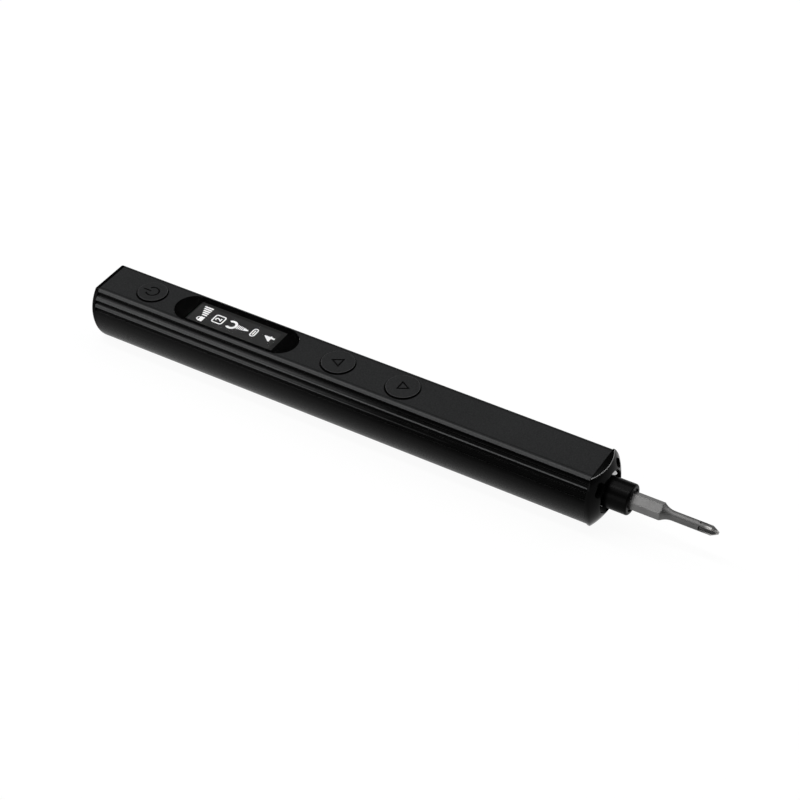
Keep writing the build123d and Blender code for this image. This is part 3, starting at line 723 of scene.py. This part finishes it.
def socketShell():  # plated can round a dark moulded tongue
    skin = socketSkin
    finish = Finish("platedShell")
    y, z = finish.axes("yz")
    lines, pale = satinLines(finish, alongX)
    level = abs(z - middleOf("usb_socket").z)
    tongue = (level < contacts["tongue"] / 2 + contacts["tongueSkin"]) * (abs(y) < contacts["tongueHalf"])
    plate = finish.mix(pale, *skin["plate"])
    finish.put("Base Color", finish.mix(tongue, plate, skin["tongue"]))
    finish.put("Metallic", 1 - tongue)
    finish.put("Roughness", skin["rough"] + (lines - 0.5) * satin["spread"] + tongue * skin["tongueRough"])
    finish.bump(lines, satin["depth"])
    return finish.material


boardSkin = {
    "tones": ((0.006, 0.055, 0.022), (0.016, 0.125, 0.050)),
    "rough": 0.34,
    "haze": 420.0,
    "hazeShare": 0.2,
    "hazeRough": 0.12,
    "trackTurn": 5200.0,  # radians for each metre across the board
    "trackEdge": 0.675,
    "trackShare": 0.8,
    "bends": 160.0,
    "bendTurn": 5.0,
    "depth": 0.01 * mm,
}


def maskedBoard():
    skin = boardSkin
    finish = Finish("maskedBoard")
    [y] = finish.axes("y")
    bend = finish.noise(skin["bends"], 1.0, (1, 0.1, 1))
    wave = (y * skin["trackTurn"] + bend * skin["bendTurn"]).wave()
    lanes = (wave > skin["trackEdge"]) * skin["trackShare"]  # copper tracks under the mask
    haze = finish.noise(skin["haze"], 3.0)
    finish.colour((lanes + haze * skin["hazeShare"]).clamp(), *skin["tones"])
    finish.put("Roughness", skin["rough"] + haze * skin["hazeRough"])
    finish.bump(lanes, skin["depth"])
    return finish.material


cellSkin = {
    "coat": 0.4,
    "tones": ((0.012, 0.070, 0.170), (0.022, 0.110, 0.240)),
    "rough": 0.34,
    "spread": 0.16,
    "creases": 260.0,
    "creaseShare": 0.6,
    "seamHalf": 0.25 * mm,  # where the wrap overlaps, underneath
    "seamTop": 3.0 * mm,
    "depth": 0.02 * mm,
}


def wrappedCell():
    skin = cellSkin
    finish = Finish("wrappedCell", {"Coat Weight": skin["coat"]})
    y, z = finish.axes("yz")
    seam = (abs(y) < skin["seamHalf"]) * (z < skin["seamTop"])
    crease = finish.noise(skin["creases"], 4.0, (0.2, 1, 1))
    pale = (crease * skin["creaseShare"] + seam * (1 - skin["creaseShare"])).clamp()
    finish.colour(pale, *skin["tones"])
    finish.grain(crease, skin["rough"], skin["spread"], skin["depth"])
    return finish.material


stackSkin = {
    "sheet": 0.35 * mm,
    "sheetShare": 0.6,
    "tones": (grey(0.16, 0.05), grey(0.34, 0.02)),
    "rough": 0.42,
    "stains": 500.0,
    "stainRough": 0.15,
    "depth": 0.02 * mm,
}


def stackedSteel():
    skin = stackSkin
    finish = Finish("stackedSteel", {"Metallic": 1.0})
    [x] = finish.axes("x")
    sheets = (x * (2 * math.pi / skin["sheet"])).wave()
    stain = finish.noise(skin["stains"], 3.0)
    pale = (sheets * skin["sheetShare"] + stain * (1 - skin["sheetShare"])).clamp()
    finish.colour(pale, *skin["tones"])
    finish.put("Roughness", skin["rough"] + stain * skin["stainRough"])
    finish.bump(sheets, skin["depth"])
    return finish.material


magnetSkin = {
    "metallic": 0.4,
    "tones": (grey(0.045), grey(0.105)),
    "rough": 0.65,
    "spread": 0.2,
    "grit": 5200.0,
    "clouds": 300.0,
    "depth": 0.01 * mm,
}


def sinteredMagnet():
    skin = magnetSkin
    finish = Finish("sinteredMagnet", {"Metallic": skin["metallic"]})
    grit = finish.noise(skin["grit"], 3.0)
    cloud = finish.noise(skin["clouds"])
    finish.colour((grit * 0.5 + cloud * 0.5).clamp(), *skin["tones"])
    finish.grain(grit, skin["rough"], skin["spread"], skin["depth"])
    return finish.material


def makeFinishes():
    return {
        "tube": anodisedTube(),
        "cap": glossCap(),
        "key": mattKey(),
        "sleeve": blackened("blackenedSleeve", sleeveSkin),
        "glass": clearGlass(),
        "print": blackPrint(),
        "screen": litPanel(),
        "mark": litMark(),
        "bit": bitSteel(),
        "pipe": lightPipe(),
        "board": maskedBoard(),
        "frame": mouldedPlastic("nylonFrame", grey(0.070), grey(0.105), 0.5),
        "switch": mouldedPlastic("switchBody", grey(0.018), grey(0.030), 0.4),
        "plunger": mouldedPlastic("switchPlunger", (0.60, 0.59, 0.55), (0.70, 0.69, 0.65), 0.36),
        "shell": socketShell(),
        "cell": wrappedCell(),
        "nickel": colouredMetal("nickelStrip", (0.50, 0.48, 0.44), (0.66, 0.64, 0.59), 0.30, alongX),
        "can": satinMetal("drawnCan", 0.50, 0.30, aroundX),
        "bell": mouldedPlastic("mouldedBell", (0.62, 0.61, 0.57), (0.74, 0.73, 0.69), 0.46),
        "magnet": sinteredMagnet(),
        "stack": stackedSteel(),
        "copper": colouredMetal("turnedCopper", (0.62, 0.25, 0.13), (0.82, 0.38, 0.21), 0.28, aroundX),
        "gear": satinMetal("cutSteel", 0.40, 0.34, alongX, warm=0.01),
        "brass": colouredMetal("turnedBrass", (0.55, 0.40, 0.15), (0.72, 0.55, 0.24), 0.30, aroundX),
        "spindle": satinMetal("groundSteel", 0.42, 0.26, aroundX, warm=0.01),
        "oxide": blackened("blackOxide", spindleSkin),
        "bronze": colouredMetal("sinteredBronze", (0.36, 0.22, 0.10), (0.52, 0.34, 0.17), 0.46, evenly),
        "gold": colouredMetal("goldPlate", (0.80, 0.56, 0.20), (0.92, 0.70, 0.32), 0.24, alongX),
        "chip": mouldedPlastic("chipResin", (0.72, 0.70, 0.52), (0.82, 0.80, 0.66), 0.32),
    }


planets = [f"stage_{stage}_planet_{index}" for stage in (1, 2) for index in (1, 2, 3)]
wears = {  # which solids have which finish
    "tube": ["body_tube"],
    "cap": ["nose_cap", "rear_cap"],
    "key": ["power_button", "reverse_button", "forward_button"],
    "sleeve": ["chuck_sleeve"],
    "glass": ["display_window"],
    "screen": ["display_panel"],
    "bit": ["bit"],
    "pipe": ["led_lenses"],
    "board": ["main_board", "led_board"],
    "frame": ["display_carrier", "board_tray", "drive_cradle"],
    "switch": ["tact_switches"],
    "plunger": ["power_plunger", "reverse_plunger", "forward_plunger"],
    "shell": ["usb_socket"],
    "cell": ["battery_cell"],
    "nickel": ["cell_tabs", "motor_terminals", "socket_magnet"],
    "can": ["motor_can"],
    "bell": ["motor_end_bell"],
    "magnet": ["motor_magnets"],
    "stack": ["motor_armature"],
    "copper": ["motor_commutator"],
    "gear": ["motor_pinion", "ring_gear", "stage_2_sun", "stage_1_carrier", "output_carrier", *planets],
    "brass": ["gearbox_cover"],
    "spindle": ["motor_shaft", "stage_1_pins", "output_pins", "spindle_clip"],
    "oxide": ["spindle"],
    "bronze": ["spindle_bush"],
    "chip": ["leds"],
}


def dressSolids(finishes):
    for key, names in wears.items():
        for name in names:
            mesh = nodes[name].data
            mesh.materials.clear()
            mesh.materials.append(finishes[key])
    left = set(nodes) - {name for names in wears.values() for name in names}
    print("finishes:", len(finishes), "made, solids without one:", sorted(left))


# Pieces: what the screen shows, engraved keys, nose shell, contacts and lens domes

pieceNames = []
weld = {"gap": 0.001 * mm, "flatAngle": 0.4}  # for a copy of a solid's triangles


def linkPiece(name, mesh, finish, body, slot, *stands):
    mesh.materials.clear()
    mesh.materials.append(finish)
    piece = bpy.data.objects.new(name, mesh)
    bpy.context.scene.collection.objects.link(piece)
    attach(piece, body)
    if stands:
        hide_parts(*stands)
    pieceNames.append(name)


def settled(helper):  # the mesh that a helper's modifiers or outlines give
    bpy.context.scene.collection.objects.link(helper)
    graph = bpy.context.evaluated_depsgraph_get()
    mesh = bpy.data.meshes.new_from_object(helper.evaluated_get(graph), depsgraph=graph)
    bpy.data.objects.remove(helper)
    return mesh


def written(shape, name):
    mesh = bpy.data.meshes.new(name)
    shape.to_mesh(mesh)
    shape.free()
    return mesh


def mergedCopy(name):  # a node's loose triangles joined, flat faces made whole
    shape = bmesh.new()
    shape.from_mesh(nodes[name].data)
    bmesh.ops.remove_doubles(shape, verts=shape.verts[:], dist=weld["gap"])
    flat = math.radians(weld["flatAngle"])
    bmesh.ops.dissolve_limit(shape, angle_limit=flat, verts=shape.verts[:], edges=shape.edges[:])
    return written(shape, name + ".copy")


def flatSolid(loops, low, high):  # outlines in the XY plane, a loop inside another is a hole
    shape = bmesh.new()
    for loop in loops:
        corners = [shape.verts.new((x, y, low)) for x, y in loop]
        for first, second in zip(corners, corners[1:] + corners[:1]):
            shape.edges.new((first, second))
    bmesh.ops.triangle_fill(shape, edges=shape.edges[:], use_beauty=True)
    raised = bmesh.ops.extrude_face_region(shape, geom=shape.faces[:], use_keep_orig=True)["geom"]
    tops = [item for item in raised if isinstance(item, bmesh.types.BMVert)]
    bmesh.ops.translate(shape, verts=tops, vec=(0, 0, high - low))
    bmesh.ops.recalc_face_normals(shape, faces=shape.faces[:])
    return written(shape, "flat")


def joined(meshes):
    shape = bmesh.new()
    for mesh in meshes:
        shape.from_mesh(mesh)
    return written(shape, "joined")


def carved(mesh, tool):  # the mesh with a tool's shape cut away
    cutter = bpy.data.objects.new("cutter", tool)
    bpy.context.scene.collection.objects.link(cutter)
    blank = bpy.data.objects.new("blank", mesh)
    carve = blank.modifiers.new("carve", "BOOLEAN")
    carve.operation = "DIFFERENCE"
    carve.solver = "EXACT"
    carve.object = cutter
    left = settled(blank)
    bpy.data.objects.remove(cutter)
    return left


def smoothSkin(mesh, angle):
    stale = mesh.attributes.get("custom_normal")
    if stale:
        mesh.attributes.remove(stale)
    mesh.shade_smooth()
    mesh.set_sharp_from_angle(angle=math.radians(angle))


def arc(middle, radius, start, end, steps=16):
    turns = [math.radians(start + (end - start) * step / steps) for step in range(steps + 1)]
    return [(middle[0] + radius * math.cos(turn), middle[1] + radius * math.sin(turn)) for turn in turns]


def roundedBox(middle, length, width, radius, steps=6):
    x, y = length / 2 - radius, width / 2 - radius
    loop = []
    for turn, (sideX, sideY) in enumerate(((1, 1), (-1, 1), (-1, -1), (1, -1))):
        corner = (middle[0] + sideX * x, middle[1] + sideY * y)
        loop += arc(corner, radius, 90 * turn, 90 * turn + 90, steps)
    return loop


def plainBox(x0, x1, y0, y1):
    return [(x0, y0), (x1, y0), (x1, y1), (x0, y1)]


def placed(loops, middle):  # millimetres to metres, about a place along the tool
    return [[(middle + x * mm, y * mm) for x, y in loop] for loop in loops]


marks = {  # millimetres from the panel's middle, read with the tool's rear end up
    "padlock": {"at": (-10.85, -2.15), "body": (1.25, 1.85), "gap": 0.02, "shackle": 0.75, "line": 0.30},
    "bars": {"foot": -9.6, "first": -0.42, "pitch": 0.76, "count": 5, "width": 0.50, "rise": (1.5, 2.65)},
    "square": {"at": (-6.1, -0.1), "span": 3.3, "corner": 0.75, "line": 0.38, "figure": "2", "size": 2.4},
    "spanner": {
        "at": (-2.1, -0.2),
        "jaw": (1.68, 0.95),  # outer and inner radius
        "steps": (28, 24),
        "open": 44,  # degrees from the jaw's middle to its outer lip
        "lip": 8,
        "gap": 0.08,
        "hatch": {"count": 4, "pitch": 0.47, "bar": 0.3, "half": 0.78, "taper": 0.05},
        "neckHalf": 0.58,
        "tip": 3.05,
        "point": (0.2, 0.22),  # its length and half its width
    },
    "capsule": {
        "at": (4.65, 0.0),
        "length": 3.3,
        "width": 1.55,
        "line": 0.32,
        "bar": (0.17, 1.9),  # half its width, its length
        "flat": 0.01,  # keeps the round ends apart
    },
    "level": {"at": (9.35, -0.1), "figure": "4", "size": 4.2},
}


def padlockLoops(mark):
    x, y = mark["at"]
    tall, wide = mark["body"]
    outer = arc((x, y), mark["shackle"], 90, 270)
    inner = arc((x, y), mark["shackle"] - mark["line"], 270, 90)
    return [plainBox(x + mark["gap"], x + tall, y - wide / 2, y + wide / 2), outer + inner]


def barLoops(mark):
    foot = mark["foot"]
    half = mark["width"] / 2
    least, most = mark["rise"]
    loops = []
    for step in range(mark["count"]):
        rise = least + (most - least) * step / (mark["count"] - 1)
        middle = mark["first"] + step * mark["pitch"]
        loops.append(plainBox(foot - rise, foot, middle - half, middle + half))
    return loops


def frameLoops(middle, length, width, corner, line):
    inner = roundedBox(middle, length - 2 * line, width - 2 * line, corner - line)
    return [roundedBox(middle, length, width, corner), inner]


def spannerLoops(mark):
    x, y = mark["at"]
    outer, inner = mark["jaw"]
    reach = 180 - mark["open"]
    lip = reach - mark["lip"]
    more, fewer = mark["steps"]
    loops = [arc((x, y), outer, reach, -reach, more) + arc((x, y), inner, -lip, lip, fewer)]
    hatch = mark["hatch"]
    start = x + outer + mark["gap"]
    for step in range(hatch["count"]):
        left = start + step * hatch["pitch"]
        half = hatch["half"] - hatch["taper"] * step
        loops.append(plainBox(left, left + hatch["bar"], y - half, y + half))
    neck = start + hatch["count"] * hatch["pitch"]
    tip = mark["tip"]
    back, half = mark["point"]
    lower = [(neck, y - mark["neckHalf"]), (tip - back, y - half)]
    upper = [(tip - back, y + half), (neck, y + mark["neckHalf"])]
    return loops + [lower + [(tip, y)] + upper]


def capsuleLoops(mark):
    x, y = mark["at"]
    half, length = mark["bar"]
    corner = mark["width"] / 2 - mark["flat"]
    loops = frameLoops(mark["at"], mark["width"], mark["length"], corner, mark["line"])
    return loops + [plainBox(x - half, x + half, y - length / 2, y + length / 2)]


def numeral(mark, middle, low, high):
    outline = bpy.data.curves.new("numeral", "FONT")
    outline.body = mark["figure"]
    outline.size = mark["size"] * mm
    outline.offset = display["figureGain"]
    outline.align_x = "CENTER"
    outline.align_y = "CENTER"
    outline.extrude = (high - low) / 2
    mesh = settled(bpy.data.objects.new("numeral", outline))
    x, y = mark["at"]
    place = Matrix.Translation((middle + x * mm, y * mm, (low + high) / 2))
    mesh.transform(place @ Matrix.Rotation(math.radians(90), 4, "Z"))
    return mesh


def addScreen(finishes):
    windowLow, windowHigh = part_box("display_window")
    middle = middleOf("display_window").x
    length = windowHigh.x - windowLow.x - 2 * display["maskInset"]
    width = windowHigh.y - windowLow.y - 2 * display["maskInset"]
    slot = roundedBox((middle, 0), length, width, width / 2 - display["maskEnd"])
    reach, half = display["clearLength"], display["clearWidth"]
    opening = plainBox(middle - reach, middle + reach, -half, half)
    low, high = [windowLow.z + rise for rise in display["maskRise"]]
    mask = flatSolid([slot, opening], low, high)
    linkPiece("screenMask", mask, finishes["print"], "casing", "window_glass")
    panel = middleOf("display_panel").x
    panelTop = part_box("display_panel")[1].z
    low, high = [panelTop + rise for rise in display["markRise"]]
    square = marks["square"]
    loops = padlockLoops(marks["padlock"]) + barLoops(marks["bars"]) + spannerLoops(marks["spanner"])
    loops += frameLoops(square["at"], square["span"], square["span"], square["corner"], square["line"])
    loops += capsuleLoops(marks["capsule"])
    shapes = [flatSolid(placed(loops, panel), low, high)]
    shapes += [numeral(marks[name], panel, low, high) for name in ("square", "level")]
    linkPiece("screenMarks", joined(shapes), finishes["mark"], "casing", "screen")
    print("screen:", len(loops), "outlines and 2 figures")


keys = {  # engraved signs, millimetres
    "line": 0.44,
    "depth": 0.16,
    "clear": 0.2,  # how far the cutter stands out
    "triangleSide": 3.6,
    "powerRing": 1.7,
    "ringSteps": 40,
    "powerGap": 38,  # degrees each side of the stroke
    "powerStroke": (-2.8, -0.5),
    "points": {"reverse": -1, "forward": 1},  # which way the triangle points along the tool
    "smooth": 35,  # degrees
}


def triangleLoops(side):
    outer = keys["triangleSide"] / math.sqrt(3)
    turns = [math.radians(120 * corner) for corner in range(3)]
    loops = []
    for reach in (outer, outer - 2 * keys["line"]):
        loops.append([(side * reach * math.cos(turn), reach * math.sin(turn)) for turn in turns])
    return loops


def powerLoops():
    half = keys["line"] / 2
    outer, inner = keys["powerRing"] + half, keys["powerRing"] - half
    reach = 180 - keys["powerGap"]
    steps = keys["ringSteps"]
    ring = arc((0, 0), outer, -reach, reach, steps) + arc((0, 0), inner, reach, -reach, steps)
    return [ring, plainBox(*keys["powerStroke"], -half, half)]


def engraveKeys(finishes):
    for name in ("power", "reverse", "forward"):
        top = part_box(name + "_button")[1].z
        loops = powerLoops() if name == "power" else triangleLoops(keys["points"][name])
        loops = placed(loops, middleOf(name + "_button").x)
        sign = flatSolid(loops, top - keys["depth"] * mm, top + keys["clear"] * mm)
        mesh = carved(mergedCopy(name + "_button"), sign)
        smoothSkin(mesh, keys["smooth"])
        linkPiece(name + "Key", mesh, finishes["key"], name + "_key", "button_black", name + "_button")
    print("keys: engraved")


nose = {
    "rim": 0.10 * mm,  # rounding of the cap's outer edge
    "rimSegments": 3,
    "rimAngle": 38,  # degrees, sharper edges are rounded
    "slots": ((40, 52, 7.1), (134, 149, 6.75)),  # degrees at both ends, millimetres from the spindle
    "slotRadius": 1.05 * mm,
    "slotDepth": 1.7 * mm,  # back from the front of the dome
    "slotMargin": 0.9995,  # share of the radius inside which a face is in the slot
    "drill": 6.0 * mm,  # length of the cutter
    "steps": 24,
    "smooth": 30,
}


def slotEnds(slot, height):
    reach = slot[2] * mm
    turns = [math.radians(angle) for angle in slot[:2]]
    return [Vector((reach * math.cos(turn), height + reach * math.sin(turn))) for turn in turns]


def slotLoop(first, second):
    run = second - first
    heading = math.degrees(math.atan2(run.y, run.x))
    ahead = arc(second, nose["slotRadius"], heading - 90, heading + 90, nose["steps"])
    behind = arc(first, nose["slotRadius"], heading + 90, heading + 270, nose["steps"])
    return ahead[:-1] + behind[:-1]


def inSlot(spot, first, second):
    run = second - first
    share = max(0, min(1, (spot - first).dot(run) / run.length_squared))
    return (spot - first - run * share).length < nose["slotRadius"] * nose["slotMargin"]


def markFaces(mesh, name, flags):
    mesh.attributes.new(name, "FLOAT", "FACE").data.foreach_set("value", [float(flag) for flag in flags])


def roundNose(finishes):  # the cap with a rounded rim and its slots at their full width
    height = middleOf("chuck_sleeve").z
    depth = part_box("nose_cap")[1].x - nose["slotDepth"]
    shell = bpy.data.objects.new("shell", mergedCopy("nose_cap"))
    soften = shell.modifiers.new("soften", "BEVEL")
    soften.width = nose["rim"]
    soften.segments = nose["rimSegments"]
    soften.limit_method = "ANGLE"
    soften.angle_limit = math.radians(nose["rimAngle"])
    mesh = settled(shell)
    lengthwise = Matrix(((0, 0, 1, 0), (1, 0, 0, 0), (0, 1, 0, 0), (0, 0, 0, 1)))  # a drill along the tool
    ends = [slotEnds(slot, height) for slot in nose["slots"]]
    for first, second in ends:
        drill = flatSolid([slotLoop(first, second)], depth, depth + nose["drill"])
        drill.transform(lengthwise)
        mesh = carved(mesh, drill)
    hollow = [any(inSlot(face.center.yz, *pair) for pair in ends) for face in mesh.polygons]
    markFaces(mesh, "hollow", hollow)
    smoothSkin(mesh, nose["smooth"])
    linkPiece("noseShell", mesh, finishes["cap"], "casing", "cap_black", "nose_cap")
    print("nose:", len(mesh.polygons), "faces,", sum(hollow), "in slots")


class Grower(Wiring):  # a Geometry Nodes tree with named size inputs
    def __init__(self, name, inputs):
        super().__init__(bpy.data.node_groups.new(name, "GeometryNodeTree"))
        self.sizes = {}
        for key, value in inputs.items():
            kind = "NodeSocketInt" if isinstance(value, int) else "NodeSocketFloat"
            socket = self.tree.interface.new_socket(key, in_out="INPUT", socket_type=kind)
            self.sizes[socket.identifier] = value
        self.tree.interface.new_socket("Geometry", in_out="OUTPUT", socket_type="NodeSocketGeometry")
        self.source = self.node("NodeGroupInput").outputs
        self.drain = self.node("NodeGroupOutput").inputs

    def make(self, kind, **sockets):
        named = {key.replace("_", " "): value for key, value in sockets.items()}
        return self.node("GeometryNode" + kind, sockets=named).outputs[0]

    def vector(self, x=0.0, y=0.0, z=0.0):
        return self.node("ShaderNodeCombineXYZ", sockets={0: x, 1: y, 2: z}).outputs[0]

    def grown(self, shape, finish):
        real = self.make("RealizeInstances", Geometry=shape)
        self.feed(self.drain[0], self.make("SetMaterial", Geometry=real, Material=finish))
        helper = bpy.data.objects.new(self.tree.name, bpy.data.meshes.new(self.tree.name))
        grow = helper.modifiers.new("grow", "NODES")
        grow.node_group = self.tree
        for identifier, value in self.sizes.items():
            grow[identifier] = value
        return settled(helper)


def addContacts(finishes):
    middle = middleOf("usb_socket").z
    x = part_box("usb_socket")[0].x + contacts["setback"] + contacts["start"] + contacts["length"] / 2
    y = -contacts["pitch"] * (contacts["count"] - 1) / 2
    pad = {key: contacts[key] for key in ("count", "pitch", "width", "length", "rise")}
    rows = []
    for side in (-1, 1):
        z = middle + side * (contacts["tongue"] + contacts["rise"]) / 2
        row = Grower("contactRow", pad)
        step = row.vector(y=row.source["pitch"])
        line = row.make("MeshLine", Count=row.source["count"], Start_Location=(x, y, z), Offset=step)
        size = row.vector(row.source["length"], row.source["width"], row.source["rise"])
        pads = row.make("InstanceOnPoints", Points=line, Instance=row.make("MeshCube", Size=size))
        rows.append(row.grown(pads, finishes["gold"]))
    linkPiece("socketContacts", joined(rows), finishes["gold"], "casing", "plated_shell")
    print("contacts:", 2 * contacts["count"])


domes = {
    "count": 3,
    "ring": 4.68 * mm,
    "radius": 0.62 * mm,
    "rise": 1.20 * mm,
    "start": 30.0,  # degrees round the spindle
    "segments": 20,
    "rings": 12,
}


def addLensDomes(finishes):
    foot = (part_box("led_lenses")[1].x, 0.0, middleOf("chuck_sleeve").z)
    spin = (0.0, 0.0, math.radians(domes["start"]))
    lengthwise = (math.radians(90), 0.0, math.radians(90))
    tree = Grower("lensDomes", {key: domes[key] for key in ("count", "ring", "radius", "rise")})
    circle = tree.make("MeshCircle", Vertices=tree.source["count"], Radius=tree.source["ring"])
    spun = tree.make("Transform", Geometry=circle, Rotation=spin)
    placed = tree.make("Transform", Geometry=spun, Rotation=lengthwise, Translation=foot)
    ball = tree.make("MeshUVSphere", Segments=domes["segments"], Rings=domes["rings"])
    size = tree.vector(tree.source["rise"], tree.source["radius"], tree.source["radius"])
    bead = tree.make("Transform", Geometry=ball, Scale=size)
    mesh = tree.grown(tree.make("InstanceOnPoints", Points=placed, Instance=bead), finishes["pipe"])
    mesh.shade_smooth()
    linkPiece("lensDomes", mesh, finishes["pipe"], "casing", "light_pipe")
    print("lens domes:", domes["count"])


# Floor and sky


def addFloor():
    finish = Finish("paleFloor", {"Roughness": studio["floorRough"], "Specular IOR Level": 0.0})
    path = finish.node("ShaderNodeLightPath")
    seen = finish.val(path.outputs["Is Camera Ray"])
    for ray in ("Is Glossy Ray", "Is Transmission Ray"):
        seen = seen.higher(finish.val(path.outputs[ray]))
    finish.colour(seen, grey(studio["floorTone"]), grey(studio["floorSeen"]))
    white = finish.node("ShaderNodeEmission", sockets={"Color": (1, 1, 1, 1), "Strength": 1.0})
    sockets = {0: seen * studio["floorWhite"], 1: finish.shader.outputs[0], 2: white.outputs[0]}
    blend = finish.node("ShaderNodeMixShader", sockets=sockets)
    finish.feed(finish.tree.nodes["Material Output"].inputs["Surface"], blend.outputs[0])
    half = studio["floorSpan"] / 2
    mesh = bpy.data.meshes.new("floor")
    corners = [(-half, -half, 0), (half, -half, 0), (half, half, 0), (-half, half, 0)]
    mesh.from_pydata(corners, [], [(0, 1, 2, 3)])
    mesh.materials.append(finish.material)
    floor = bpy.data.objects.new("floor", mesh)
    bpy.context.scene.collection.objects.link(floor)


def addSky():
    world = bpy.data.worlds.new("studioSky")
    bpy.context.scene.world = world
    world.use_nodes = True
    sky = Wiring(world.node_tree)
    backdrop = sky.tree.nodes["Background"].inputs
    [rise] = sky.split(sky.node("ShaderNodeTexCoord").outputs["Generated"], "z")
    level = studio["skyLow"] + rise.over(studio["skyTurn"]) * (studio["skyHigh"] - studio["skyLow"])
    sky.feed(backdrop["Color"], (1, 1, 1, 1))
    sky.feed(backdrop["Strength"], level)


bpy.context.scene.view_settings.view_transform = "Standard"
setCamera()
for boxName, box in studio["softboxes"].items():
    addSoftbox(boxName, box)
addFloor()
addSky()
print("studio:", len(studio["softboxes"]), "softboxes")
finishes = makeFinishes()
dressSolids(finishes)
addScreen(finishes)
engraveKeys(finishes)
roundNose(finishes)
addContacts(finishes)
addLensDomes(finishes)
print("pieces:", len(pieceNames), pieceNames)
